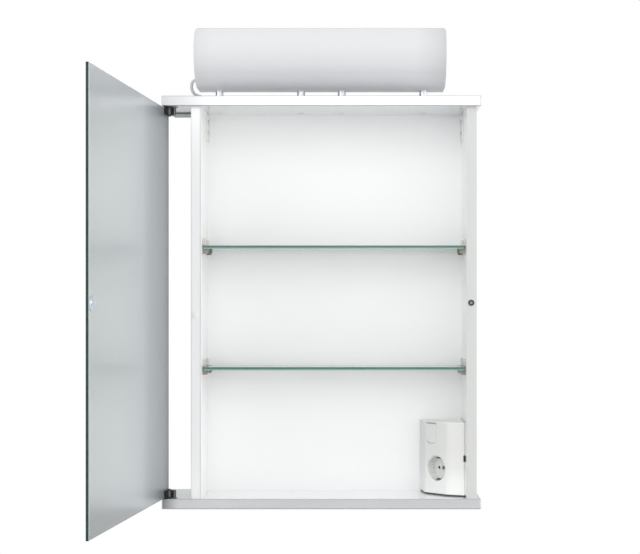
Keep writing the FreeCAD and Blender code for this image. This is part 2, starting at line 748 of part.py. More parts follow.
# base tray: foot plate on the posts, back plate and a small left end tab for the gland
tray = fuse(
    box(LAMP_X0 + 4, LAMP_X1 - 4, 61.0, 115.5, TRAY_H, TRAY_H + 1.5),
    box(LAMP_X0 + 4, LAMP_X1 - 4, 114.0, 115.5, TRAY_H, TRAY_BACK_H),
    box(LAMP_X0 + 2.2, LAMP_X0 + 4, 96.0, 115.5, TRAY_H, 702.0),
)
tray = cut(
    tray,
    *[cyl(x, POST_D, TRAY_H - 1, 2.0, 4.0) for x in POST_X],
    cyl(LAMP_X0 + 1, GLAND_D, GLAND_H, 5.0, 4.0, (1, 0, 0)),
)
nodes["lamp_base_tray"] = tray

ps = []
for x in POST_X:
    head = cyl(x, POST_D, TOP_H, 4.0, 3.0)
    rod = cyl(x, POST_D, TOP_H + 3.0, 2.0, TRAY_H + 5.0 - TOP_H - 3.0)
    nut = Part.Face(
        Part.makePolygon(
            [
                Vector(x + 4.0 * math.cos(math.radians(60 * i)), POST_D + 4.0 * math.sin(math.radians(60 * i)), TRAY_H + 1.5)
                for i in range(7)
            ]
        )
    ).extrude(Vector(0, 0, 3.2))
    one = fuse(head, rod, nut)
    one = cut(
        one,
        box(x - 2.5, x + 2.5, POST_D - 0.5, POST_D + 0.5, TOP_H - 1, TOP_H + 1.5),
        box(x - 0.5, x + 0.5, POST_D - 2.5, POST_D + 2.5, TOP_H - 1, TOP_H + 1.5),
    )
    ps.append(one)
nodes["lamp_post_screws"] = group(ps)

BULB_D, BULB_H = 68.0, 716.0


def revolve_x(points, d, h):
    """Turn a closed outline of (x, radius) about the line along X through (d, h)."""
    poly = Part.makePolygon([Vector(x, d, h + r) for x, r in points + points[:1]])
    return Part.Face(poly).revolve(Vector(0, d, h), Vector(1, 0, 0), 360)


def bulb_parts(s):
    x = lambda v: s * v
    body = fuse(
        cyl(x(22.0), BULB_D, BULB_H, 14.0, 38.0, (s, 0, 0)),
        box(*sorted((x(42.0), x(54.0))), BULB_D - 12, BULB_D + 12, TRAY_H + 1.5, BULB_H),
    )
    body = cut(
        body,
        cyl(x(34.0), BULB_D, BULB_H, 7.0, 27.0, (s, 0, 0)),
        cyl(x(55.0), BULB_D, BULB_H, 8.6, 6.0, (s, 0, 0)),
    )
    cap = fuse(
        cyl(x(36.0), BULB_D, BULB_H, 7.0, 20.0, (s, 0, 0)),
        cyl(x(56.0), BULB_D, BULB_H, 8.2, 6.0, (s, 0, 0)),
        cyl(x(34.0), BULB_D, BULB_H, 3.0, 2.0, (s, 0, 0)),
    )
    cap = cut(cap, cyl(x(60.0), BULB_D, BULB_H, 7.0, 3.0, (s, 0, 0)))
    outline = [
        (60.0, 7.0), (66.0, 7.6), (72.0, 10.5), (80.0, 14.6), (90.0, 17.0), (100.0, 17.5), (112.0, 15.8),
        (124.0, 12.0), (134.0, 7.4), (140.0, 3.6), (143.0, 0.0),
    ]
    outer_pts = [Vector(x(a), BULB_D, BULB_H + r) for a, r in outline]
    inner_pts = [
        Vector(x(a), BULB_D, BULB_H + r)
        for a, r in [
            (60.0, 5.8), (66.0, 6.4), (72.0, 9.3), (80.0, 13.4), (90.0, 15.8), (100.0, 16.3), (112.0, 14.6),
            (124.0, 10.8), (134.0, 6.2), (139.0, 2.6), (141.5, 0.0),
        ]
    ]
    c1, c2 = Part.BSplineCurve(), Part.BSplineCurve()
    c1.interpolate(outer_pts)
    c2.interpolate(inner_pts)
    wire = Part.Wire(
        [
            c1.toShape(),
            Part.LineSegment(outer_pts[-1], inner_pts[-1]).toShape(),
            c2.toShape(),
            Part.LineSegment(inner_pts[0], outer_pts[0]).toShape(),
        ]
    )
    envelope = Part.Face(wire).revolve(Vector(0, BULB_D, BULB_H), Vector(1, 0, 0), 360)
    if envelope.Volume < 0:
        envelope.reverse()
    return body, cap, envelope


for side_name, s in (("left", -1), ("right", 1)):
    body, cap, envelope = bulb_parts(s)
    nodes[side_name + "_lampholder"] = body
    nodes[side_name + "_bulb_cap"] = cap
    nodes[side_name + "_bulb_glass"] = envelope

TERM_X = -191.0
term = box(TERM_X, TERM_X + 19.0, 99.0, 113.5, TRAY_H + 1.5, 698.0)
term = cut(
    term,
    *[cyl(TERM_X + 4.0 + 5.5 * i, 106.0, 692.0, 1.8, 8.0) for i in range(3)],
)
nodes["lamp_terminal_block"] = term

gland = fuse(
    cyl(LAMP_X0 - 1.6, GLAND_D, GLAND_H, 6.0, 1.6, (1, 0, 0)),
    cyl(LAMP_X0, GLAND_D, GLAND_H, 5.0, 4.0, (1, 0, 0)),
    cyl(LAMP_X0 + 4.0, GLAND_D, GLAND_H, 6.0, 1.6, (1, 0, 0)),
    cone(LAMP_X0 - 3.4, GLAND_D, GLAND_H, 3.6, 4.2, 1.8, (1, 0, 0)),
)
nodes["lamp_gland"] = cut(gland, cyl(LAMP_X0 - 8, GLAND_D, GLAND_H, LEAD_R, 18, (1, 0, 0)))

# --- lamp lead: from the lamp's terminal block, out of its left end, through the top board, behind the back panel to
# the socket box. Straight runs and tangent arcs.
LEAD_ROUTE = [
    (TERM_X, GLAND_D, GLAND_H),
    (-214.0, 107.0, 687.0),
    (-214.5, 115.0, 666.0),
    (-182.0, 135.5, 656.5),
    (-182.0, 135.5, 616.0),
    (195.0, 135.5, 616.0),
    (195.0, 135.5, 97.0),
    (195.0, 119.0, 97.0),
]
LEAD_MAX_R = {1: 9.0, 3: 7.0, 4: 15.0, 5: 60.0}


def tube(route, radius, limits):
    pts = [Vector(*p) for p in route]
    edges, radii, length = [], [], 0.0
    here = pts[0]
    for i in range(1, len(pts) - 1):
        a, b, c = pts[i - 1], pts[i], pts[i + 1]
        ua, uc = a.sub(b), c.sub(b)
        la, lc = ua.Length, uc.Length
        ua.normalize()
        uc.normalize()
        ang = math.acos(max(-1.0, min(1.0, ua.dot(uc))))
        turn = math.pi - ang
        r = 0.45 * min(la, lc) / math.tan(turn / 2)
        r = min(r, limits.get(i, r))
        t = r * math.tan(turn / 2)
        p0, p1 = b.add(ua * t), b.add(uc * t)
        bis = ua.add(uc)
        bis.normalize()
        mid = b.add(bis * (r / math.cos(turn / 2) - r))
        edges.append(Part.LineSegment(here, p0).toShape())
        edges.append(Part.Arc(p0, mid, p1).toShape())
        length += p0.sub(here).Length + r * turn
        radii.append(round(r, 1))
        here = p1
    edges.append(Part.LineSegment(here, pts[-1]).toShape())
    length += pts[-1].sub(here).Length
    path = Part.Wire(edges)
    start = pts[1].sub(pts[0])
    start.normalize()
    ring = Part.Wire([Part.Circle(pts[0], start, radius).toShape()])
    body = path.makePipeShell([ring], True, True)
    return body, radii, length


lead, lead_radii, lead_length = tube(LEAD_ROUTE, LEAD_R, LEAD_MAX_R)
want = math.pi * LEAD_R**2 * lead_length
print(
    "lamp lead: radii %s mm, length %.1f mm, volume %.0f against section x length %.0f mm3"
    % (lead_radii, lead_length, lead.Volume, want)
)
nodes["lamp_lead"] = lead

grommet = fuse(
    cyl(LEAD_X, LEAD_D, TOP_H, GROMMET_R, BOARD_T),
    cyl(LEAD_X, LEAD_D, BODY_H, 6.0, 1.2),
)
nodes["top_board_grommet"] = cut(grommet, cyl(LEAD_X, LEAD_D, TOP_H - 1, LEAD_R, 20))

clips = []
for x in (-110.0, 0.0, 110.0):
    c = box(x - 4, x + 4, BACK_D + BACK_T, 139.5, 616.0 - 5.0, 616.0 + 5.0)
    clips.append(cut(c, cyl(x - 5, LEAD_D, 616.0, LEAD_R, 10, (1, 0, 0))))
for h in (480.0, 340.0, 200.0):
    c = box(195.0 - 5.0, 195.0 + 5.0, BACK_D + BACK_T, 139.5, h - 4, h + 4)
    clips.append(cut(c, cyl(195.0, LEAD_D, h - 5, LEAD_R, 10)))
nodes["cable_clips"] = group(clips)

# --- socket and switch box ---
plan = list(BOX_PLAN) + [(BOX_PLAN[3][0], BACK_D)]
plan_r = [0, 14.0, 30.0, 1.6, 0]
cover_out = prism(plan, plan_r, "xd", BOX_H0, BOX_H1)
rims = [
    e
    for e in cover_out.Edges
    if abs(e.BoundBox.ZMax - e.BoundBox.ZMin) < 0.01
    and not (abs(e.BoundBox.YMin - BACK_D) < 0.01 and abs(e.BoundBox.YMax - BACK_D) < 0.01)
]
cover_out = cover_out.makeFillet(1.2, rims)
plan_in = inset(plan, [BOX_WALL, BOX_WALL, BOX_WALL, BOX_WALL, -3.0])
cover_in = prism(plan_in, [0, 12.0, 28.0, 0, 0], "xd", BOX_H0 + BOX_WALL, BOX_H1 - BOX_WALL)
cover = cut(
    cover_out, cover_in, box(222.0, 228.0, 33.0, BACK_D + 1, BOX_H0 + BOX_WALL, BOX_H1 - BOX_WALL)
)

FACE_A, FACE_B = BOX_PLAN[1], BOX_PLAN[2]
FACE_MID = ((FACE_A[0] + FACE_B[0]) / 2, (FACE_A[1] + FACE_B[1]) / 2)
FACE_ANG = math.degrees(math.atan2(FACE_B[1] - FACE_A[1], FACE_B[0] - FACE_A[0]))


def on_face(shape):
    """From the main face's own frame (s to the right, d inward, h up) to the working frame."""
    s = shape.copy()
    s.rotate(Vector(0, 0, 0), Vector(0, 0, 1), FACE_ANG)
    s.translate(Vector(FACE_MID[0], FACE_MID[1], 0))
    return s


ROCK_W, ROCK_L = 21.2, 31.4
WIN_W, WIN_L = 22.0, 33.2
window = prism(
    [
        (SWITCH_S - WIN_W / 2, SWITCH_H - WIN_L / 2),
        (SWITCH_S + WIN_W / 2, SWITCH_H - WIN_L / 2),
        (SWITCH_S + WIN_W / 2, SWITCH_H + WIN_L / 2),
        (SWITCH_S - WIN_W / 2, SWITCH_H + WIN_L / 2),
    ],
    [7.4, 7.4, 2.0, 2.0],
    "xh",
    -5.0,
    2.6,
)
cover = cut(
    cover,
    on_face(cyl(0, -10, SOCKET_H, SOCKET_R + 0.4, 16.0, (0, 1, 0))),
    on_face(cone(0, -0.6, SOCKET_H, SOCKET_R + 2.6, SOCKET_R + 0.4, 2.4, (0, 1, 0))),
    on_face(window),
)
side_slot = prism(
    [(224.1, 71.2), (231.0, 71.2), (231.0, 81.6), (224.1, 81.6)], [0.8, 0, 0, 0.8], "xh", 20.0, 40.0
)
cover = cut(cover, side_slot)
nodes["box_cover"] = cover

base = fuse(
    box(163.0, RIGHT_IN, BACK_D - 2.5, BACK_D, BOX_H0 + 2.4, BOX_H1 - 2.4),
    box(RIGHT_IN - 1.5, RIGHT_IN, 31.0, BACK_D, BOX_H0 + 2.4, BOX_H1 - 2.4),
)
base = cut(base, box(RIGHT_IN - 4, RIGHT_IN + 1, 30.0, 48.0, 66.0, 87.0))
base_tools = [
    cyl(MAINS_X, BACK_D - 5, MAINS_H, 4.5, 8, (0, 1, 0)),
    cyl(ENTRY_X, BACK_D - 5, ENTRY_H, 4.5, 8, (0, 1, 0)),
]
for x, h in BOX_SCREWS_BACK:
    base_tools.append(cyl(x, BACK_D - 5, h, 1.5, 8, (0, 1, 0)))
for d, h in BOX_SCREWS_SIDE:
    base_tools.append(cyl(RIGHT_IN - 5, d, h, 1.5, 8, (1, 0, 0)))
nodes["box_base"] = cut(base, *base_tools)

bs = []
for x, h in BOX_SCREWS_BACK:
    bs.append(small_screw((x, BACK_D - 2.5, h), (0, 1, 0), 2.8, 1.8, 1.5, 5.0))
for d, h in BOX_SCREWS_SIDE:
    bs.append(small_screw((RIGHT_IN - 1.5, d, h), (1, 0, 0), 2.8, 1.8, 1.5, 8.0))
nodes["box_screws"] = group(bs)

# earthed socket insert
SOCKET_FLOOR = 17.5
ins = cyl(0, BOX_WALL + 0.3, SOCKET_H, 21.8, 30.0 - BOX_WALL - 0.3, (0, 1, 0))
ins = cut(
    ins,
    cyl(0, 10.0, SOCKET_H, 3.3, 12.0, (0, 1, 0)),
    cyl(0, 22.0, SOCKET_H, 1.7, 10.0, (0, 1, 0)),
    cyl(0, -2.0, SOCKET_H, SOCKET_R, SOCKET_FLOOR + 2.0, (0, 1, 0)),
    cyl(-9.5, 10.0, SOCKET_H, 2.6, 18.0, (0, 1, 0)),
    cyl(9.5, 10.0, SOCKET_H, 2.6, 18.0, (0, 1, 0)),
)
ribs = []
for s in (-1, 1):
    a, b = sorted((s * 17.8, s * 20.5))
    ribs.append(box(a, b, 3.0, SOCKET_FLOOR, SOCKET_H - 2.6, SOCKET_H + 2.6))
ins = fuse(ins, *ribs)
nodes["socket_insert"] = on_face(ins)
earth = []
for k in (-1, 1):
    a, b = sorted((SOCKET_H + k * 17.3, SOCKET_H + k * 18.1))
    strip = box(-3.0, 3.0, 2.5, 17.5, a, b)
    a, b = sorted((SOCKET_H + k * 17.3, SOCKET_H + k * 15.9))
    lip = box(-3.0, 3.0, 6.5, 8.0, a, b)
    earth.append(on_face(fuse(strip, lip)))
nodes["earth_contacts"] = group(earth)
contacts = []
for s in (-9.5, 9.5):
    c = cyl(s, 19.0, SOCKET_H, 2.6, 8.0, (0, 1, 0))
    contacts.append(on_face(cut(c, cyl(s, 18.5, SOCKET_H, 2.1, 7.0, (0, 1, 0)))))
nodes["socket_contacts"] = group(contacts)
nodes["socket_screw"] = on_face(small_screw((0, 22.0, SOCKET_H), (0, 1, 0), 3.0, 1.6, 1.5, 6.5))

# rocker switch
PIVOT_IN = 5.0
sb = box(
    SWITCH_S - 12.4, SWITCH_S + 12.4, 2.4, 20.0, SWITCH_H - 17.4, SWITCH_H + 16.5
)
cavity = box(
    SWITCH_S - 11.0, SWITCH_S + 11.0, 0.0, 13.0, SWITCH_H - 16.6, SWITCH_H + 16.1
)
sb = cut(
    sb,
    cavity,
    cyl(SWITCH_S - 13.5, PIVOT_IN, SWITCH_H, 1.55, 27.0, (1, 0, 0)),
)
nodes["switch_body"] = on_face(sb)
rock = prism(
    [
        (SWITCH_S - ROCK_W / 2, SWITCH_H - ROCK_L / 2),
        (SWITCH_S + ROCK_W / 2, SWITCH_H - ROCK_L / 2),
        (SWITCH_S + ROCK_W / 2, SWITCH_H + ROCK_L / 2),
        (SWITCH_S - ROCK_W / 2, SWITCH_H + ROCK_L / 2),
    ],
    [7.0, 7.0, 1.6, 1.6],
    "xh",
    -1.5,
    4.0,
)
rim = [e for e in rock.Edges if abs(e.BoundBox.YMax + 1.5) < 0.01]
rock = rock.makeFillet(0.9, rim)
hub = box(SWITCH_S - ROCK_W / 2, SWITCH_S + ROCK_W / 2, 3.0, 7.5, SWITCH_H - 4.0, SWITCH_H + 4.0)
stub = cyl(SWITCH_S - 12.2, PIVOT_IN, SWITCH_H, 1.5, 24.4, (1, 0, 0))
rock = fuse(rock, hub, stub)
rock = turned(rock, (0, PIVOT_IN, SWITCH_H), (1, 0, 0), SWITCH_TILT)
nodes["switch_rocker"] = on_face(rock)

bt = box(183.0, 214.0, 105.0, 119.0, 88.0, 106.0)
bt = cut(bt, *[cyl(188.0 + 10.4 * i, 109.0, 96.0, 2.2, 12.0) for i in range(3)])
nodes["box_terminal_block"] = bt

mg = fuse(
    cyl(MAINS_X, BACK_D, MAINS_H, 6.0, BACK_T, (0, 1, 0)),
    cyl(MAINS_X, BACK_D + BACK_T, MAINS_H, 8.5, 1.5, (0, 1, 0)),
)
nodes["mains_inlet_grommet"] = cut(mg, cyl(MAINS_X, BACK_D - 1, MAINS_H, 4.5, 8, (0, 1, 0)))

# --- write every piece ---
for name, shape in nodes.items():
    out = shape.copy()
    out.translate(ORIGIN.negative())
    solids = out.Solids
    if not solids or not out.isValid():
        print("problem:", name, len(solids), out.isValid())
    if len(solids) == 1:
        out = solids[0]
    else:
        out = Part.makeCompound(solids)
    out.exportStep("parts/%s.step" % name)
    bb = out.BoundBox
    print(
        "%-24s %2d solids  %9.1f mm3  x %.1f..%.1f y %.1f..%.1f z %.1f..%.1f"
        % (name, len(solids), out.Volume, bb.XMin, bb.XMax, bb.YMin, bb.YMax, bb.ZMin, bb.ZMax)
    )
print(len(nodes), "pieces")
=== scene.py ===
import math

import bmesh
import bpy
from mathutils import Matrix, Vector


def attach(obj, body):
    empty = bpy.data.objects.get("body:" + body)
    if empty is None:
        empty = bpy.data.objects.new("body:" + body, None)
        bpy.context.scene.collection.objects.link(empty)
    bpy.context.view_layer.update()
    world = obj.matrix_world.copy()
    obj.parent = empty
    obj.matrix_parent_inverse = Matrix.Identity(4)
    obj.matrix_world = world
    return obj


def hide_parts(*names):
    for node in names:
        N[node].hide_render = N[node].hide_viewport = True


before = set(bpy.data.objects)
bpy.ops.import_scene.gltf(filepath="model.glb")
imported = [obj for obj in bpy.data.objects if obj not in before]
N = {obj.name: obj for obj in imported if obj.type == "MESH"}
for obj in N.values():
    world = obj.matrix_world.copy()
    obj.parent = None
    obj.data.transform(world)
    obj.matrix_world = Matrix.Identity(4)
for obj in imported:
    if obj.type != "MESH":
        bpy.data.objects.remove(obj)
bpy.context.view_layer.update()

scene = bpy.context.scene
scene.view_settings.view_transform = "Standard"
scene.view_settings.look = "None"
scene.view_settings.exposure = 0.0

# Working frame of the CAD: X from the middle of the boards, D the depth behind their front edge, H the height above
# the bottom board's lower face, all in mm.
OX, OD, OH = 19.5, 142.0, 598.0


def W(x, d, h):
    return Vector(((x - OX) / 1000, (d - OD) / 1000, (h - OH) / 1000))


# ------------------------------------------------------------------ camera
cam_data = bpy.data.cameras.new("camera")
cam = bpy.data.objects.new("camera", cam_data)
scene.collection.objects.link(cam)
cam.location = W(52.6, -2514.0, 311.0)
cam.rotation_euler = (math.radians(90), 0, 0)
cam_data.sensor_width = 36.0
cam_data.lens = 1607.0 / 640.0 * 36.0
cam_data.shift_x = (320.0 - 355.0) / 640.0
cam_data.shift_y = (310.5 - 277.0) / 640.0
cam_data.clip_start = 0.05
cam_data.clip_end = 60.0
scene.camera = cam


# ------------------------------------------------------------------ material helpers
class Mat:
    """A node-based material built step by step. All patterns use object coordinates, which are metres in the row frame."""

    def __init__(self, name):
        self.m = bpy.data.materials.new(name)
        self.m.use_nodes = True
        self.t = self.m.node_tree
        self.t.nodes.clear()
        self.out = self.add("ShaderNodeOutputMaterial")
        self.b = self.add("ShaderNodeBsdfPrincipled")
        self.link(self.b.outputs[0], self.out.inputs[0])
        self.tc = self.add("ShaderNodeTexCoord")
        self.co = self.tc.outputs["Object"]

    def add(self, kind, **kw):
        n = self.t.nodes.new(kind)
        for k, v in kw.items():
            setattr(n, k, v)
        return n

    def link(self, a, b):
        self.t.links.new(a, b)

    def set(self, **kw):
        for k, v in kw.items():
            self.b.inputs[k.replace("_", " ")].default_value = v
        return self

    def mapped(self, scale=(1, 1, 1), rot=(0, 0, 0), loc=(0, 0, 0), src=None):
        n = self.add("ShaderNodeMapping")
        n.inputs["Scale"].default_value = scale
        n.inputs["Rotation"].default_value = rot
        n.inputs["Location"].default_value = loc
        self.link(src or self.co, n.inputs["Vector"])
        return n.outputs[0]

    def noise(self, scale, detail=3.0, rough=0.5, vec=None):
        n = self.add("ShaderNodeTexNoise")
        n.inputs["Scale"].default_value = scale
        n.inputs["Detail"].default_value = detail
        n.inputs["Roughness"].default_value = rough
        self.link(vec or self.co, n.inputs["Vector"])
        return n.outputs["Fac"]

    def voronoi(self, scale, vec=None, feature="F1"):
        n = self.add("ShaderNodeTexVoronoi", feature=feature)
        n.inputs["Scale"].default_value = scale
        self.link(vec or self.co, n.inputs["Vector"])
        return n.outputs["Distance"]

    def math(self, op, a, b=0.0, clamp=False):
        n = self.add("ShaderNodeMath", operation=op, use_clamp=clamp)
        for i, v in enumerate((a, b)):
            if isinstance(v, (int, float)):
                n.inputs[i].default_value = v
            else:
                self.link(v, n.inputs[i])
        return n.outputs[0]

    def ramp(self, fac, stops):
        n = self.add("ShaderNodeValToRGB")
        cr = n.color_ramp
        while len(cr.elements) < len(stops):
            cr.elements.new(0.5)
        for e, (p, c) in zip(cr.elements, stops):
            e.position = p
            e.color = (*c, 1.0) if len(c) == 3 else c
        self.link(fac, n.inputs[0])
        return n.outputs[0]

    def span(self, v, a0, a1, b0, b1):
        n = self.add("ShaderNodeMapRange")
        self.link(v, n.inputs["Value"])
        n.inputs["From Min"].default_value = a0
        n.inputs["From Max"].default_value = a1
        n.inputs["To Min"].default_value = b0
        n.inputs["To Max"].default_value = b1
        return n.outputs[0]

    def mix(self, fac, a, b):
        n = self.add("ShaderNodeMix", data_type="RGBA")
        for sock, v in ((n.inputs[0], fac), (n.inputs[6], a), (n.inputs[7], b)):
            if isinstance(v, (int, float)):
                sock.default_value = v
            elif isinstance(v, (tuple, list)):
                sock.default_value = (*v, 1.0)
            else:
                self.link(v, sock)
        return n.outputs[2]

    def xyz(self, src=None):
        n = self.add("ShaderNodeSeparateXYZ")
        self.link(src or self.co, n.inputs[0])
        return n.outputs

    def tint(self, a, b):
        n = self.add("ShaderNodeMix", data_type="RGBA", blend_type="MULTIPLY")
        n.inputs[0].default_value = 1.0
        self.link(a, n.inputs[6])
        self.link(b, n.inputs[7])
        return n.outputs[2]

    def color(self, sock):
        self.link(sock, self.b.inputs["Base Color"])

    def rough(self, sock):
        self.link(sock, self.b.inputs["Roughness"])

    def bump(self, height, strength, distance):
        n = self.add("ShaderNodeBump")
        n.inputs["Strength"].default_value = strength
        n.inputs["Distance"].default_value = distance
        self.link(height, n.inputs["Height"])
        self.link(n.outputs[0], self.b.inputs["Normal"])
        return n


def paint(name, base, rough, var=0.03, scale=60.0, bump=0.0, bump_scale=900.0, metallic=0.0, rough_var=0.08, **kw):
    """A surface of one finish with slight mottling, wear in its gloss and a fine relief."""
    m = Mat(name)
    m.set(Metallic=metallic, **kw)
    n1 = m.noise(scale, 4.0, 0.55)
    a = tuple(max(0.0, c * (1 - var)) for c in base)
    b = tuple(min(1.0, c * (1 + var)) for c in base)
    m.color(m.ramp(n1, [(0.3, a), (0.7, b)]))
    n2 = m.noise(scale * 2.3, 3.0, 0.6)
    m.rough(m.span(n2, 0.3, 0.7, max(0.02, rough - rough_var), min(1.0, rough + rough_var)))
    if bump:
        m.bump(m.noise(bump_scale, 2.0, 0.5), bump, 0.0004)
    return m


def put(mat, *names):
    for n in names:
        o = N[n] if isinstance(n, str) else n
        o.data.materials.clear()
        o.data.materials.append(mat.m if isinstance(mat, Mat) else mat)


# ------------------------------------------------------------------ materials
def board_material(name, h0, stops, top):
    """Silver-white foil on a board, with dark hairlines along the rims of its front face. h0 is the lower face's
    height, stops the painted shading along the front face from the left end, darkest at the left end, and top says
    which board it is. Painted shade and reflection darken the overhangs' outer faces, and painted light brightens the
    bottom board's other faces."""
    m = Mat(name)
    m.set(Metallic=0.72)
    cloud = m.noise(1.0, 4.0, 0.5, m.mapped((5.0, 30.0, 30.0)))
    foil = m.ramp(cloud, [(0.3, (0.83, 0.838, 0.852)), (0.7, (0.85, 0.858, 0.87))])
    x, y, z = m.xyz()[0:3]
    lo, hi = W(-250, 0, h0), W(250, 142, h0 + 16)
    front = m.math("LESS_THAN", y, lo.y + 0.0022)
    line = m.math("LESS_THAN", x, lo.x + 0.0014)
    for v, lim, op in ((x, hi.x - 0.0014, "GREATER_THAN"), (z, lo.z + 0.0012, "LESS_THAN"), (z, hi.z - 0.0012, "GREATER_THAN")):
        line = m.math("MAXIMUM", line, m.math(op, v, lim))
    # painted shade along the front face, darkest at the left end
    painted_light_tone = m.ramp(m.span(x, lo.x, hi.x, 0.0, 1.0), [(p, (t, t, t)) for p, t in stops])
    painted_light_tone = m.mix(line, painted_light_tone, (EDGE_LINE, EDGE_LINE, EDGE_LINE))
    if not top:
        # painted shade: a dark strip along the lower rim of the bottom board's front face
        painted_light_tone = m.mix(m.math("LESS_THAN", z, lo.z + 0.0013), painted_light_tone, (0.36, 0.36, 0.36))
    left_end, right_end = (-205.0 - OX) / 1000, (244.0 - OX) / 1000
    # painted shade and reflection: the top board's underside at the left overhang and the bottom board's top at both
    # overhangs are painted darker and greenish
    if top:
        painted_overhang_shade = m.math("MULTIPLY", m.math("LESS_THAN", z, lo.z + 0.0004), m.math("LESS_THAN", x, left_end))
    else:
        painted_shade_at_ends = m.math("MAXIMUM", m.math("LESS_THAN", x, left_end), m.math("GREATER_THAN", x, right_end))
        painted_overhang_shade = m.math("MULTIPLY", m.math("GREATER_THAN", z, hi.z - 0.0004), painted_shade_at_ends)
    # painted light: the bottom board's faces other than the front and the overhangs are brightened by 1.12
    inner_painted_gain = 1.0 if top else 1.12
    painted_light_tone = m.mix(front, m.mix(painted_overhang_shade, (inner_painted_gain, inner_painted_gain, inner_painted_gain), (0.49, 0.53, 0.525) if top else (0.45, 0.485, 0.48)), painted_light_tone)
    n = m.add("ShaderNodeMix", data_type="RGBA", blend_type="MULTIPLY")
    n.inputs[0].default_value = 1.0
    m.link(foil, n.inputs[6])
    m.link(painted_light_tone, n.inputs[7])
    m.color(n.outputs[2])
    m.rough(m.span(cloud, 0.3, 0.7, 0.19, 0.23))
    m.bump(m.noise(420.0, 3.0, 0.5), 0.02, 0.0002)
    return m


EDGE_LINE = 0.50


def panel_material(name, edge, front_edge=(0.535, 0.545, 0.535), arris=None):
    """White melamine with an edge band on the front edge. edge is the y of the front face, in metres, front_edge the
    band's colour, set lighter on the left panel and darker on the right as painted light, and arris the x from which
    the band's inner corner gets a painted shade line."""
    m = Mat(name)
    cloud = m.noise(7.0, 4.0, 0.55)
    face = m.ramp(cloud, [(0.3, (0.905, 0.905, 0.90)), (0.7, (0.925, 0.925, 0.92))])
    speck = m.noise(1.0, 3.0, 0.5, m.mapped((300.0, 300.0, 12.0)))
    k = tuple(c * 1.02 for c in front_edge)
    band = m.ramp(speck, [(0.3, front_edge), (0.7, k)])
    if arris is not None:
        # painted shade: a darker line along the band's inner corner
        band = m.mix(m.math("GREATER_THAN", m.xyz()[0], arris), band, (0.62, 0.625, 0.63))
    y = m.xyz()[1]
    m.color(m.mix(m.math("LESS_THAN", y, edge + 0.0008), face, band))
    m.rough(m.span(cloud, 0.3, 0.7, 0.28, 0.36))
    m.bump(m.noise(1100.0, 2.0, 0.5), 0.04, 0.0002)
    return m


def rim_mask(m, x, y, z, x0, x1, y0, y1, z0=None, z1=None, w=0.0009):
    """1 within w metres of the pane's rim."""
    out = m.math("LESS_THAN", x, x0 + w)
    tests = [(x, x1 - w, "GREATER_THAN"), (y, y0 + w, "LESS_THAN"), (y, y1 - w, "GREATER_THAN")]
    if z0 is not None:
        tests += [(z, z0 + w, "LESS_THAN"), (z, z1 - w, "GREATER_THAN")]
    for s, lim, op in tests:
        out = m.math("MAXIMUM", out, m.math(op, s, lim))
    return out


def shelf_material():
    """Float glass: clear through the pane, green in the polished rim, with a painted highlight as a paler strip along
    the lowest 1.5 mm of each shelf's rim.
    """
    m = Mat("float_glass")
    m.set(IOR=1.52)
    x, y, z = m.xyz()[0:3]
    lo, hi = W(-187, 22, 0), W(226, 122, 0)
    edge = rim_mask(m, x, y, z, lo.x, hi.x, lo.y, hi.y)
    speck = m.noise(140.0, 4.0, 0.6)
    # painted highlight: a paler strip along the lowest 1.5 mm of each shelf's rim
    above = m.math("MODULO", m.math("ADD", z, 0.3815), 0.192)
    dark = m.ramp(speck, [(0.3, (0.075, 0.205, 0.16)), (0.7, (0.095, 0.24, 0.19))])
    painted_rim_highlight = m.ramp(speck, [(0.3, (0.43, 0.64, 0.56)), (0.7, (0.48, 0.68, 0.60))])
    rim = m.mix(m.math("GREATER_THAN", above, 0.0015), painted_rim_highlight, dark)
    m.color(m.mix(edge, (0.93, 0.975, 0.955), rim))
    m.link(m.span(edge, 0.0, 1.0, 1.0, 0.35), m.b.inputs["Transmission Weight"])
    m.rough(m.math("MULTIPLY", edge, m.span(speck, 0.3, 0.7, 0.10, 0.22)))
    return m


def door_frame_coords(m):
    """Coordinates with the door's opening turn about the pivot undone, so X runs along the door."""
    piv = W(-232.6, 16.7, 0)
    v = m.add("ShaderNodeVectorMath", operation="SUBTRACT")
    m.link(m.co, v.inputs[0])
    v.inputs[1].default_value = (piv.x, piv.y, 0)
    r = m.add("ShaderNodeVectorRotate", rotation_type="Z_AXIS")
    m.link(v.outputs[0], r.inputs["Vector"])
    r.inputs["Angle"].default_value = math.radians(95.1)
    return m.xyz(r.outputs[0])[0:3]


def mirror_material():
    """Silvered glass with a ground green rim."""
    m = Mat("mirror_glass")
    x, y, z = door_frame_coords(m)
    xa, xb = (-248 + 232.6) / 1000, (250 + 232.6) / 1000
    za, zb = (16.3 - OH) / 1000, (628.9 - OH) / 1000
    rim = m.math("LESS_THAN", x, xa + 0.0006)
    for s, lim, op in ((x, xb - 0.0006, "GREATER_THAN"), (z, za + 0.0006, "LESS_THAN"), (z, zb - 0.0006, "GREATER_THAN")):
        rim = m.math("MAXIMUM", rim, m.math(op, s, lim))
    grime = m.noise(7.0, 5.0, 0.6)
    face = m.ramp(grime, [(0.3, (0.86, 0.90, 0.89)), (0.7, (0.90, 0.93, 0.92))])
    green = m.ramp(m.noise(160.0, 4.0, 0.6), [(0.3, (0.016, 0.032, 0.030)), (0.7, (0.036, 0.062, 0.057))])
    m.color(m.mix(rim, face, green))
    m.link(m.math("SUBTRACT", 1.0, rim), m.b.inputs["Metallic"])
    m.link(m.span(rim, 0.0, 1.0, 0.5, 0.12), m.b.inputs["Specular IOR Level"])
    m.rough(m.span(rim, 0.0, 1.0, 0.015, 0.32))
    return m


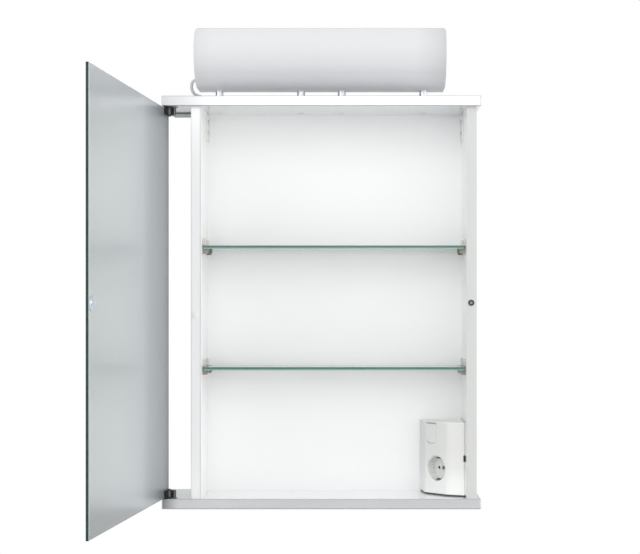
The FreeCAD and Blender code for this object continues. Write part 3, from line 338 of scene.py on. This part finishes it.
def door_back_material():
    """Grey satin backing of the mirror, with painted shade and reflection darkening it towards the hinge side."""
    m = Mat("satin_grey_backing")
    m.set(Metallic=0.35)
    x, y, z = door_frame_coords(m)
    cloud = m.noise(4.0, 3.0, 0.5)
    c = m.ramp(cloud, [(0.3, (0.454, 0.488, 0.500)), (0.7, (0.461, 0.495, 0.507))])
    along = m.span(x, 0.0, 0.48, 0.0, 1.0)
    # painted shade and reflection: darker towards the hinge side
    painted_light_tone = m.ramp(along, [(0.0, (0.53, 0.55, 0.56)), (0.12, (0.62, 0.64, 0.65)), (0.23, (0.80, 0.81, 0.82)), (0.36, (1.0, 1.0, 1.0)), (1.0, (0.94, 0.93, 0.92))])
    n = m.add("ShaderNodeMix", data_type="RGBA", blend_type="MULTIPLY")
    n.inputs[0].default_value = 1.0
    m.link(c, n.inputs[6])
    m.link(painted_light_tone, n.inputs[7])
    m.color(n.outputs[2])
    m.rough(m.span(cloud, 0.3, 0.7, 0.24, 0.25))
    m.bump(m.noise(900.0, 2.0, 0.5), 0.02, 0.0001)
    return m


def opal_material():
    """Milky plastic of the lamp's visor, with painted light: brighter towards its underside and darker towards its top,
    and painted shade at both ends, darkest at the right end.
    """
    m = Mat("opal_visor")
    m.set(Coat_Weight=0.15, Coat_Roughness=0.25, Specular_IOR_Level=0.35)
    cloud = m.noise(6.0, 3.0, 0.5)
    c = m.ramp(cloud, [(0.3, (0.857, 0.866, 0.886)), (0.7, (0.871, 0.880, 0.900))])
    z = m.xyz()[2]
    up = m.span(z, (660.0 - OH) / 1000, (710.0 - OH) / 1000, 0.0, 1.0)
    # painted light: brighter towards the underside, darker towards the top
    painted_light_tone = m.ramp(up, [(0.0, (1.0, 1.0, 1.0)), (0.2, (0.93, 0.93, 0.93)), (0.38, (0.803, 0.803, 0.803)), (0.55, (0.704, 0.704, 0.704)), (1.0, (0.676, 0.676, 0.676))])
    along = m.span(m.xyz()[0], (-201.7 - OX) / 1000, (197.0 - OX) / 1000, 0.0, 1.0)
    # painted shade at both ends, darkest at the right end
    painted_shade_at_ends = m.ramp(along, [(0.0, (0.92, 0.92, 0.92)), (0.07, (1.0, 1.0, 1.0)), (0.88, (1.0, 1.0, 1.0)), (0.965, (0.88, 0.88, 0.88)), (1.0, (0.78, 0.78, 0.78))])
    c = m.tint(c, painted_shade_at_ends)
    n = m.add("ShaderNodeMix", data_type="RGBA", blend_type="MULTIPLY")
    n.inputs[0].default_value = 1.0
    m.link(c, n.inputs[6])
    m.link(painted_light_tone, n.inputs[7])
    m.color(n.outputs[2])
    m.rough(m.span(cloud, 0.3, 0.7, 0.42, 0.50))
    m.bump(m.noise(380.0, 2.0, 0.5), 0.015, 0.0002)
    return m


def box_material():
    """Glossy white moulded plastic, very slightly warm, with painted light: lighter towards the bottom and on the top
    face, darker higher up the sides.
    """
    m = Mat("white_box_plastic")
    cloud = m.noise(12.0, 3.0, 0.5)
    c = m.ramp(cloud, [(0.3, (0.925, 0.93, 0.91)), (0.7, (0.94, 0.945, 0.925))])
    z = m.xyz()[2]
    up = m.span(z, (20.0 - OH) / 1000, (90.0 - OH) / 1000, 0.0, 1.0)
    up = m.math("MULTIPLY", up, m.math("LESS_THAN", z, (132.6 - OH) / 1000))
    # painted light: lighter towards the bottom and on the top face, darker higher up the sides
    painted_light_tone = m.ramp(up, [(0.0, (0.98, 0.98, 0.98)), (0.25, (0.93, 0.93, 0.93)), (0.6, (0.81, 0.81, 0.81)), (1.0, (0.765, 0.765, 0.765))])
    n = m.add("ShaderNodeMix", data_type="RGBA", blend_type="MULTIPLY")
    n.inputs[0].default_value = 1.0
    m.link(c, n.inputs[6])
    m.link(painted_light_tone, n.inputs[7])
    m.color(n.outputs[2])
    m.rough(m.span(cloud, 0.3, 0.7, 0.40, 0.44))
    m.bump(m.noise(500.0, 2.0, 0.5), 0.01, 0.0002)
    return m


# painted shade along each board's front face, darkest at the left end; the bottom board's front is painted darker
# overall than the top board's
put(board_material("silver_foil_top", 631.2, [(0.0, 0.50), (0.02, 0.55), (0.06, 0.61), (0.12, 0.71), (0.24, 1.0)], True), "top_board")
put(board_material("silver_foil_bottom", 0.0, [(0.0, 0.20), (0.008, 0.29), (0.025, 0.48), (0.05, 0.76), (0.15, 0.80)], False), "bottom_board")
# painted light: the left panel's front edge band is set lighter than the right one's, and the left one carries a
# painted shade line at its inner corner
left_panel = panel_material("white_melamine_left", (8.0 - OD) / 1000, (0.86, 0.865, 0.87), (-189.0 - 2.0 - OX) / 1000)
right_panel = panel_material("white_melamine_right", (8.0 - OD) / 1000, (0.535, 0.545, 0.535))
put(left_panel, "left_side_panel")
put(right_panel, "right_side_panel")
backm = paint("white_hardboard", (0.935, 0.94, 0.94), 0.5, var=0.008, scale=6.0, bump=0.03, bump_scale=700.0)
put(backm, "back_panel")
put(shelf_material(), "upper_glass_shelf", "lower_glass_shelf")
put(mirror_material(), "door_mirror_glass")
put(door_back_material(), "door_backing")
black = paint("black_powder_coat", (0.014, 0.015, 0.016), 0.45, var=0.2, scale=300.0, bump=0.25, bump_scale=2600.0, Specular_IOR_Level=0.15)
put(black, "upper_hinge_clamp", "lower_hinge_clamp")
blackp = paint("black_moulded", (0.02, 0.02, 0.021), 0.5, var=0.15, scale=200.0, bump=0.1, bump_scale=1800.0)
put(blackp, "catch_sleeve")
greyp = paint("grey_moulded", (0.26, 0.28, 0.28), 0.5, var=0.1, scale=200.0, bump=0.1, bump_scale=1800.0)
put(greyp, "upper_pivot_bushing", "lower_pivot_bushing")
pad = paint("rubber_pad", (0.03, 0.03, 0.03), 0.75, var=0.1, scale=200.0, bump=0.2, bump_scale=1500.0)
put(pad, "hinge_pads")
zinc = paint("zinc_plated_steel", (0.62, 0.62, 0.61), 0.32, var=0.08, scale=160.0, bump=0.05, bump_scale=1500.0, metallic=1.0)
put(zinc, "carcass_screws", "hanger_screws",
    "shelf_support_pins", "lamp_post_screws", "box_screws", "overhang_plate_screws")
darkscrew = paint("blackened_screw", (0.05, 0.052, 0.054), 0.4, var=0.12, scale=300.0, metallic=0.6, bump=0.08, bump_scale=1800.0)
put(darkscrew, "hinge_screws")
magnet = paint("sintered_magnet", (0.24, 0.24, 0.245), 0.45, var=0.35, scale=900.0, metallic=0.5, bump=0.2, bump_scale=2400.0)
put(magnet, "catch_magnet")
hook = paint("white_lacquered_steel", (0.84, 0.84, 0.83), 0.4, var=0.02, scale=60.0, bump=0.04, bump_scale=900.0)
put(hook, "left_hanger", "right_hanger")
pinm = paint("turned_steel", (0.13, 0.14, 0.14), 0.42, var=0.06, scale=240.0, metallic=0.3, Specular_IOR_Level=0.25)
put(pinm, "upper_pivot_pin", "lower_pivot_pin")
chrome = paint("polished_plate", (0.58, 0.66, 0.72), 0.34, var=0.05, scale=90.0, metallic=1.0)
put(chrome, "strike_plate")
whitep = paint("white_moulded", (0.86, 0.86, 0.855), 0.42, var=0.02, scale=80.0, bump=0.05, bump_scale=1500.0)
put(whitep, "door_bumper", "lamp_terminal_block", "box_terminal_block", "cable_clips")
nickel = paint("satin_nickel", (0.27, 0.255, 0.215), 0.3, var=0.08, scale=220.0, metallic=1.0, bump=0.08, bump_scale=1600.0)
put(nickel, "upper_shelf_supports", "lower_shelf_supports")
clearp = paint("translucent_clamp", (0.93, 0.92, 0.90), 0.12, var=0.03, scale=200.0, Transmission_Weight=0.75, IOR=1.46)
put(clearp, "upper_shelf_clamps", "lower_shelf_clamps")
postm = paint("satin_chrome_post", (0.70, 0.71, 0.735), 0.28, var=0.03, scale=150.0, metallic=0.9)
put(postm, "lamp_posts")
enamel = paint("white_enamel", (0.84, 0.84, 0.84), 0.35, var=0.02, scale=30.0, bump=0.04, bump_scale=800.0)
put(enamel, "lamp_base_tray")
ceramic = paint("glazed_holder", (0.86, 0.85, 0.82), 0.2, var=0.03, scale=120.0, Coat_Weight=0.4)
put(ceramic, "left_lampholder", "right_lampholder")
brass = paint("brass_cap", (0.72, 0.55, 0.28), 0.3, var=0.08, scale=200.0, metallic=1.0)
put(brass, "left_bulb_cap", "right_bulb_cap")
# painted shade: the socket's pin contacts and the screw in its well are painted near-black for the shade deep in the
# well
shade_darkened_contacts = paint("contact_metal_painted_shade", (0.06, 0.055, 0.045), 0.45, var=0.15, scale=300.0, metallic=0.8)
put(shade_darkened_contacts, "socket_contacts", "socket_screw")
# painted shade: the earth contacts are painted near-black for the shade in the socket's well
spring = paint("spring_contact", (0.10, 0.10, 0.095), 0.35, var=0.12, scale=300.0, metallic=0.9)
put(spring, "earth_contacts")
opalb = paint("opal_bulb", (0.92, 0.91, 0.88), 0.25, var=0.02, scale=60.0, Transmission_Weight=0.35, IOR=1.5)
put(opalb, "left_bulb_glass", "right_bulb_glass")
greyr = paint("grey_rubber", (0.55, 0.55, 0.55), 0.6, var=0.05, scale=150.0, bump=0.1, bump_scale=1500.0)
put(greyr, "lamp_gland", "top_board_grommet", "mains_inlet_grommet")
sheath = paint("cable_sheath", (0.50, 0.535, 0.53), 0.42, var=0.03, scale=120.0, bump=0.06, bump_scale=1200.0)
put(sheath, "lamp_lead")
boxm = box_material()
put(boxm, "box_cover", "box_base", "socket_insert", "switch_body", "switch_rocker")
label = paint("blank_label", (0.95, 0.95, 0.965), 0.45, var=0.01, scale=60.0)
put(label, "label_plate")
beech = paint("beech_dowel", (0.55, 0.38, 0.22), 0.6, var=0.15, scale=90.0)
put(beech, "carcass_dowels")
platem = paint("glass_green_plate", (0.13, 0.18, 0.17), 0.3, var=0.08, scale=150.0)
put(platem, "overhang_plate")
opal = opal_material()
put(opal, "lamp_shade")


# ------------------------------------------------------------------ mesh helpers
def new_object(name, verts, faces, mat):
    me = bpy.data.meshes.new(name)
    me.from_pydata([tuple(v) for v in verts], [], faces)
    bm = bmesh.new()
    bm.from_mesh(me)
    bmesh.ops.remove_doubles(bm, verts=bm.verts, dist=1e-6)
    bmesh.ops.dissolve_degenerate(bm, dist=1e-7, edges=bm.edges)
    bmesh.ops.recalc_face_normals(bm, faces=bm.faces)
    bm.to_mesh(me)
    bm.free()
    o = bpy.data.objects.new(name, me)
    scene.collection.objects.link(o)
    if mat is not None:
        me.materials.append(mat.m)
    return o


def applied(o):
    """Freeze the object's modifiers into its mesh."""
    bpy.context.view_layer.update()
    dg = bpy.context.evaluated_depsgraph_get()
    me = bpy.data.meshes.new_from_object(o.evaluated_get(dg))
    old = o.data
    o.modifiers.clear()
    o.data = me
    bpy.data.meshes.remove(old)
    return o


def cut_away(o, *tools):
    for t in tools:
        md = o.modifiers.new("cut", "BOOLEAN")
        md.operation = "DIFFERENCE"
        md.solver = "EXACT"
        md.object = t
    applied(o)
    for t in tools:
        me = t.data
        bpy.data.objects.remove(t)
        bpy.data.meshes.remove(me)
    return o


def finish_shading(o, bevel=0.0, segments=3, limit=50.0, sharp=32.0):
    """Round the hard edges a little, then shade smooth with flat faces kept flat."""
    if bevel:
        md = o.modifiers.new("bevel", "BEVEL")
        md.width = bevel
        md.segments = segments
        md.limit_method = "ANGLE"
        md.angle_limit = math.radians(limit)
        md.miter_outer = "MITER_ARC"
        applied(o)
    me = o.data
    me.shade_smooth()
    me.set_sharp_from_angle(angle=math.radians(sharp))
    md = o.modifiers.new("normals", "WEIGHTED_NORMAL")
    md.keep_sharp = True
    md.mode = "FACE_AREA"
    md.weight = 80
    applied(o)
    return o


def outline(points, radii, step=4.0):
    """Closed polygon with an arc of the given radius at each corner, one point every few degrees."""
    out = []
    n = len(points)
    for i in range(n):
        a, b, c = Vector(points[i - 1]), Vector(points[i]), Vector(points[(i + 1) % n])
        r = radii[i]
        if r <= 0:
            out.append(b)
            continue
        ua, uc = (a - b).normalized(), (c - b).normalized()
        ang = ua.angle(uc)
        t = r / math.tan(ang / 2)
        centre = b + (ua + uc).normalized() * (r / math.sin(ang / 2))
        p0, p1 = b + ua * t, b + uc * t
        a0 = math.atan2(p0.y - centre.y, p0.x - centre.x)
        a1 = math.atan2(p1.y - centre.y, p1.x - centre.x)
        d = (a1 - a0 + math.pi) % (2 * math.pi) - math.pi
        k = max(2, int(abs(math.degrees(d)) / step) + 1)
        for j in range(k + 1):
            w = a0 + d * j / k
            out.append(Vector((centre.x + r * math.cos(w), centre.y + r * math.sin(w))))
    return out


def prism(name, pts, lo, hi, place, mat):
    """Straight solid over a closed outline. place turns (u, v, level) into a point."""
    n = len(pts)
    verts = [place(p.x, p.y, lo) for p in pts] + [place(p.x, p.y, hi) for p in pts]
    faces = [[(i + 1) % n, i, i + n, (i + 1) % n + n] for i in range(n)]
    faces += [list(range(n)), list(range(2 * n - 1, n - 1, -1))]
    return new_object(name, verts, faces, mat)


def lathe(name, profile, place, mat, n=96, radius=None):
    """Closed solid of revolution. profile is (radius, depth) from the axis outwards and back to the axis."""
    verts, faces = [], []
    rings = []
    for r, d in profile:
        if r < 1e-6:
            rings.append([len(verts)])
            verts.append(place(0.0, 0.0, d))
        else:
            rings.append(list(range(len(verts), len(verts) + n)))
            for k in range(n):
                w = 2 * math.pi * k / n
                rr = radius(r, w, d) if radius else r
                verts.append(place(rr * math.cos(w), rr * math.sin(w), d))
    for a, b in zip(rings, rings[1:]):
        for k in range(n):
            q = [a[k % len(a)], a[(k + 1) % len(a)], b[(k + 1) % len(b)], b[k % len(b)]]
            q = list(dict.fromkeys(q))
            if len(q) > 2:
                faces.append(q)
    return new_object(name, verts, faces, mat)


def inset(points, distances):
    n = len(points)
    lines = []
    for i in range(n):
        a, b = Vector(points[i]), Vector(points[(i + 1) % n])
        u = (b - a).normalized()
        nrm = Vector((-u.y, u.x))
        lines.append((a + nrm * distances[i], u))
    out = []
    for i in range(n):
        (p, u), (q, v) = lines[i - 1], lines[i]
        den = u.x * v.y - u.y * v.x
        t = ((q.x - p.x) * v.y - (q.y - p.y) * v.x) / den
        out.append((p.x + u.x * t, p.y + u.y * t))
    return out


# ------------------------------------------------------------------ lamp visor
def visor():
    steps = 40
    x0, x1, back = -201.7, 197.0, 118.0
    power = 2.4
    shells = []
    for wall, r_top, r_low in ((0.0, 8.0, 1.2), (2.0, 6.0, 0.5)):
        low, top, front = 668.2 + wall, 763.0 - wall, 17.0 + wall
        sec = []
        for i in range(steps + 1):
            t = math.radians(270 - 90 * i / steps)
            c, q = math.cos(t), math.sin(t)
            r = (abs(c) ** power + abs(q) ** power) ** (-1.0 / power)
            sec.append((84.0 + (84.0 - front) * r * c, 722.0 + (722.0 - low) * r * q))
        for i in range(1, steps + 1):
            t = math.radians(180 - 90 * i / steps)
            sec.append((62.0 + (62.0 - front) * math.cos(t), 722.0 + (top - 722.0) * math.sin(t)))

        def inward(h):
            if h > top - r_top:
                return r_top - math.sqrt(max(0.0, r_top**2 - (h - (top - r_top)) ** 2))
            if h < low + r_low:
                return r_low - math.sqrt(max(0.0, r_low**2 - ((low + r_low) - h) ** 2))
            return 0.0

        rows = []
        for d, h in sec:
            e = inward(h)
            xl, xr = x0 + wall + e, x1 - wall - e
            rows.append((W(xl, d, h), W(xr, d, h), W(xl, back, h), W(xr, back, h)))
        shells.append(rows)
    verts, faces = [], []

    def quad(*p):
        faces.append(list(range(len(verts), len(verts) + len(p))))
        verts.extend(p)

    for s, rows in enumerate(shells):
        flip = s == 1
        for a, b in zip(rows, rows[1:]):
            for q in ((a[0], b[0], b[1], a[1]), (a[2], b[2], b[0], a[0]), (a[1], b[1], b[3], a[3])):
                quad(*(reversed(q) if flip else q))
        for row in (rows[0], rows[-1]):
            quad(row[0], row[1], row[3], row[2])
    for i, (a, b) in enumerate(zip(shells[0], shells[1])):
        if i + 1 < len(shells[0]):
            c, d = shells[0][i + 1], shells[1][i + 1]
            quad(a[2], c[2], d[2], b[2])
            quad(a[3], c[3], d[3], b[3])
    for k in (0, -1):
        a, b = shells[0][k], shells[1][k]
        quad(a[2], a[3], b[3], b[2])
    o = new_object("lamp_visor", verts, faces, opal)
    finish_shading(o, bevel=0.0007, segments=3, limit=55.0, sharp=34.0)
    return o


o = visor()
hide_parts("lamp_shade")
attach(o, "cabinet")


# ------------------------------------------------------------------ socket and switch box
PLAN = ((159.0, 126.0), (164.7, 78.0), (198.8, 40.0), (226.2, 27.3), (226.2, 126.0))
FMID = ((164.7 + 198.8) / 2, (78.0 + 40.0) / 2)
FANG = math.atan2(40.0 - 78.0, 198.8 - 164.7)


def on_face(s, h, depth):
    """A point of the box's main face: s to the right, h up, depth inward."""
    x = FMID[0] + s * math.cos(FANG) - depth * math.sin(FANG)
    d = FMID[1] + s * math.sin(FANG) + depth * math.cos(FANG)
    return W(x, d, h)


def plan_place(u, v, level):
    return W(u, v, level)


def box_cover():
    outer = prism("box_cover_shell", outline(PLAN, (0, 14.0, 30.0, 1.6, 0), 2.5), 18.5, 133.0, plan_place, boxm)
    inner = prism("t0", outline(inset(PLAN, (2.0, 2.0, 2.0, 2.0, -3.0)), (0, 12.0, 28.0, 0, 0), 2.5), 20.5, 131.0, plan_place, None)
    open_side = prism("t4", outline(((222.0, 33.0), (228.0, 33.0), (228.0, 130.0), (222.0, 130.0)), (0, 0, 0, 0)), 20.5, 131.0, plan_place, None)
    cut_away(outer, inner, open_side)
    mouth = [(0.0, -6.0), (25.0, -6.0), (24.0, -0.02)]
    for i in range(0, 10):
        t = math.radians(10 * i)
        mouth.append((22.4 - 2.5 * math.sin(t), 2.5 - 2.5 * math.cos(t)))
    mouth += [(19.9, 2.5), (19.9, 8.0), (0.0, 8.0)]
    socket = lathe("t1", mouth, lambda a, b, d: on_face(a, 58.0 + b, d), None, 96)
    win = prism(
        "t2",
        outline(((-21.2, 97.7), (0.8, 97.7), (0.8, 130.9), (-21.2, 130.9)), (7.4, 7.4, 2.0, 2.0), 5.0),
        -5.0,
        6.0,
        lambda u, v, level: on_face(u, v, level),
        None,
    )
    notch = prism(
        "t3",
        outline(((224.1, 71.2), (232.0, 71.2), (232.0, 81.6), (224.1, 81.6)), (0.8, 0, 0, 0.8), 15.0),
        20.0,
        40.0,
        lambda u, v, level: W(u, level, v),
        None,
    )
    cut_away(outer, socket, win, notch)
    finish_shading(outer, bevel=0.0008, segments=3, limit=58.0, sharp=34.0)
    return outer


o = box_cover()
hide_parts("box_cover")
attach(o, "cabinet")


def socket_well():
    """The socket's insert: a well with fluted cheeks, pin holes and a screw hole in its floor."""

    def flute(r, w, d):
        if abs(r - 19.5) > 0.01 or d < 4.0:
            return r
        a = abs((math.degrees(w) + 90.0) % 180.0 - 90.0)
        if a > 58.0:
            return r
        deep = 1.25 if math.cos(w) < 0.0 else 0.7
        return r - deep * max(0.0, math.cos(math.radians(a * 180.0 / 6.0))) ** 2

    profile = [(0.0, 30.0), (21.8, 30.0), (21.8, 2.3), (19.5, 2.3), (19.5, 4.4), (19.5, 17.5), (0.0, 17.5)]
    o = lathe("socket_well", profile, lambda a, b, d: on_face(a, 58.0 + b, d), boxm, 240, flute)
    tools = []
    for k, s in enumerate((-9.5, 9.5)):
        tools.append(lathe("t%d" % k, [(0.0, 12.0), (2.6, 12.0), (2.6, 28.0), (0.0, 28.0)],
                           lambda a, b, d, s=s: on_face(s + a, 58.0 + b, d), None, 32))
    tools.append(lathe("t5", [(0.0, 12.0), (3.3, 12.0), (3.3, 22.0), (0.0, 22.0)], lambda a, b, d: on_face(a, 58.0 + b, d), None, 32))
    cut_away(o, *tools)
    finish_shading(o, 0.0, sharp=28.0)
    return o


o = socket_well()
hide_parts("socket_insert")
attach(o, "cabinet")

# a set-back plinth under the box, so that only a fine joint shows above the bottom board; the plinth is painted
# near-black as a painted shadow in that joint
o = prism(
    "box_plinth",
    outline(inset(PLAN, (1.8, 1.8, 1.8, 1.0, 0.6)), (0, 12.2, 28.2, 0.6, 0), 2.5),
    16.4,
    18.45,
    plan_place,
    paint("plinth_painted_shadow", (0.12, 0.125, 0.11), 0.8, var=0.1, scale=200.0),
)
finish_shading(o, 0.0, sharp=34.0)
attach(o, "cabinet")

# two strips of the base that close the joint between the cover and the side panel, above and below the side notch
for name, h0, h1 in (("box_joint_lower", 18.7, 71.2), ("box_joint_upper", 81.6, 132.8)):
    o = prism(
        name,
        outline(((226.25, 28.2), (227.9, 28.2), (227.9, 30.8), (226.25, 30.8)), (0, 0.3, 0, 0), 30.0),
        h0,
        h1,
        plan_place,
        boxm,
    )
    finish_shading(o, 0.0, sharp=34.0)
    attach(o, "cabinet")


# ------------------------------------------------------------------ rocker: grip ribs and a small dome
def rocker_point(s, h, depth):
    """A point given on the upright rocker, carried by its rest tilt of 5 degrees about the pivot line."""
    w = math.radians(5.0)
    d, z = depth - 5.0, h - 114.3
    return on_face(s, 114.3 + d * math.sin(w) + z * math.cos(w), 5.0 + d * math.cos(w) - z * math.sin(w))


def grip_rib(name, s, h0, h1, width=1.1, rise=0.45):
    """A shallow rib with a round back, its foot sunk a little into the rocker's face."""
    half = width / 2
    pts = [Vector((s - half, 0.25))]
    for i in range(9):
        t = math.pi * i / 8
        pts.append(Vector((s - half * math.cos(t), -rise * math.sin(t))))
    pts.append(Vector((s + half, 0.25)))
    o = prism(name, pts, h0, h1, lambda u, v, level: rocker_point(u, level, -1.5 + v), boxm)
    return finish_shading(o, bevel=0.00015, segments=2, limit=50.0, sharp=40.0)


for k, s in enumerate((-16.2, -10.2, -4.2)):
    o = grip_rib("rocker_rib_%d" % k, s, 117.5, 127.5)
    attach(o, "switch_rocker_body")
dome = [(0.0, 0.3), (2.3, 0.3)]
for i in range(0, 8):
    t = math.radians(90.0 * i / 7)
    dome.append((2.3 * math.cos(t), -0.9 * math.sin(t)))
dome[-1] = (0.0, -0.9)
o = lathe("rocker_dome", dome, lambda a, b, d: rocker_point(-10.2 + a, 107.9 + b, -1.5 + d), boxm, 40)
finish_shading(o, 0.0, sharp=50.0)
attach(o, "switch_rocker_body")


# ------------------------------------------------------------------ hinge: a thin steel leaf between jaw and lug
def door_point(x, d, h):
    """A point given with the door closed, carried to the open rest position."""
    w = math.radians(-95.1)
    u, v = x + 232.6, d - 16.7
    return W(-232.6 + u * math.cos(w) - v * math.sin(w), 16.7 + u * math.sin(w) + v * math.cos(w), h)


knob = [(0.0, 0.4), (2.0, 0.4)]
for i in range(0, 8):
    t = math.radians(90.0 * i / 7)
    knob.append((2.0 * math.cos(t), -1.2 * math.sin(t)))
knob[-1] = (0.0, -1.2)
o = lathe("strike_knob", knob, lambda a, b, d: door_point(244.8 + a, 6.5 - d, 321.5 + b), whitep, 32)
finish_shading(o, 0.0, sharp=50.0)
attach(o, "door")

leaf_steel = paint("hinge_leaf", (0.16, 0.17, 0.17), 0.40, var=0.04, scale=200.0, metallic=0.3)
for name, h0, h1 in (("upper_hinge_leaf", 619.2, 629.2), ("lower_hinge_leaf", 17.7, 27.5)):
    o = prism(
        name,
        outline(((-226.9, 9.4), (-226.2, 9.4), (-226.6, 12.4), (-227.3, 12.4)), (0.2, 0.2, 0.2, 0.2), 30.0),
        h0,
        h1,
        lambda u, v, level: door_point(u, v, level),
        leaf_steel,
    )
    finish_shading(o, 0.0, sharp=40.0)
    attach(o, "door")


# ------------------------------------------------------------------ stage: floor and studio dome
FLOOR_GLOW = 0.0


def make_floor():
    bpy.ops.mesh.primitive_plane_add(size=1)
    f = bpy.context.active_object
    f.name = "floor"
    f.scale = (9.0, 9.0, 1.0)
    f.location = (0.0, -1.2, -1.35)
    m = Mat("studio_floor")
    n = m.noise(3.0, 3.0, 0.5)
    m.color(m.ramp(n, [(0.3, (0.80, 0.80, 0.80)), (0.7, (0.83, 0.83, 0.83))]))
    m.set(Roughness=0.8, Emission_Color=(1.0, 1.0, 1.0, 1.0), Emission_Strength=FLOOR_GLOW)
    put(m, f)
    return f


make_floor()

# The dome's brightness by direction: azimuth knots every 45 degrees, from the rear over the left, the front (middle
# entry) and the right, for a lower and a middle band, and one value for the cap. The white backdrop fills a window at
# the rear.
LOW = [0.2, 0.2, 0.2, 2.7, 0.2, 2.66, 3.04, 0.2]
MID = [0.2, 0.2, 0.2, 2.95, 1.7, 1.45, 2.54, 0.2]
CAP = 1.13
BACKDROP = 1.0
DOME = 4.0


def make_world():
    world = bpy.data.worlds.new("studio")
    scene.world = world
    world.use_nodes = True
    t = world.node_tree
    t.nodes.clear()

    def add(kind, **kw):
        n = t.nodes.new(kind)
        for k, v in kw.items():
            setattr(n, k, v)
        return n

    def mth(op, a, b=0.0, clamp=False):
        n = add("ShaderNodeMath", operation=op, use_clamp=clamp)
        for i, v in enumerate((a, b)):
            if isinstance(v, (int, float)):
                n.inputs[i].default_value = v
            else:
                t.links.new(v, n.inputs[i])
        return n.outputs[0]

    def step(v, a, b):
        n = add("ShaderNodeMapRange", interpolation_type="SMOOTHSTEP")
        t.links.new(v, n.inputs["Value"])
        n.inputs["From Min"].default_value = a
        n.inputs["From Max"].default_value = b
        return n.outputs[0]

    def ring(values, fac):
        n = add("ShaderNodeValToRGB")
        cr = n.color_ramp
        while len(cr.elements) < 9:
            cr.elements.new(0.5)
        for i in range(9):
            v = values[i % 8] / DOME
            cr.elements[i].position = i / 8
            cr.elements[i].color = (v, v, v, 1.0)
        t.links.new(fac, n.inputs[0])
        return n.outputs[0]

    def mix(fac, a, b):
        n = add("ShaderNodeMix", data_type="RGBA")
        for sock, v in ((n.inputs[0], fac), (n.inputs[6], a), (n.inputs[7], b)):
            if isinstance(v, float):
                sock.default_value = (v, v, v, 1.0) if sock is not n.inputs[0] else v
            else:
                t.links.new(v, sock)
        return n.outputs[2]

    tc = add("ShaderNodeTexCoord")
    sx = add("ShaderNodeSeparateXYZ")
    t.links.new(tc.outputs["Generated"], sx.inputs[0])
    x, y, z = sx.outputs[0:3]
    turn = mth("ARCTAN2", x, mth("MULTIPLY", y, -1.0))
    fac = mth("ADD", mth("DIVIDE", turn, 2 * math.pi), 0.5)
    low, mid = ring(LOW, fac), ring(MID, fac)
    env = mix(step(z, -0.05, 0.06), low, mid)
    env = mix(step(z, 0.40, 0.62), env, CAP / DOME)
    # window of the backdrop, in slopes about the +Y axis
    sl = mth("DIVIDE", x, mth("MAXIMUM", y, 0.001))
    se = mth("DIVIDE", z, mth("MAXIMUM", y, 0.001))
    inside = mth("MULTIPLY", step(sl, -0.32, -0.25), mth("SUBTRACT", 1.0, step(sl, 0.20, 0.26)))
    inside = mth("MULTIPLY", inside, step(se, -0.26, -0.18))
    inside = mth("MULTIPLY", inside, mth("SUBTRACT", 1.0, step(se, 0.22, 0.32)))
    inside = mth("MULTIPLY", inside, mth("GREATER_THAN", y, 0.01))
    env = mix(inside, env, BACKDROP / DOME)
    bg = add("ShaderNodeBackground")
    t.links.new(env, bg.inputs[0])
    bg.inputs[1].default_value = DOME
    out = add("ShaderNodeOutputWorld")
    t.links.new(bg.outputs[0], out.inputs[0])


make_world()
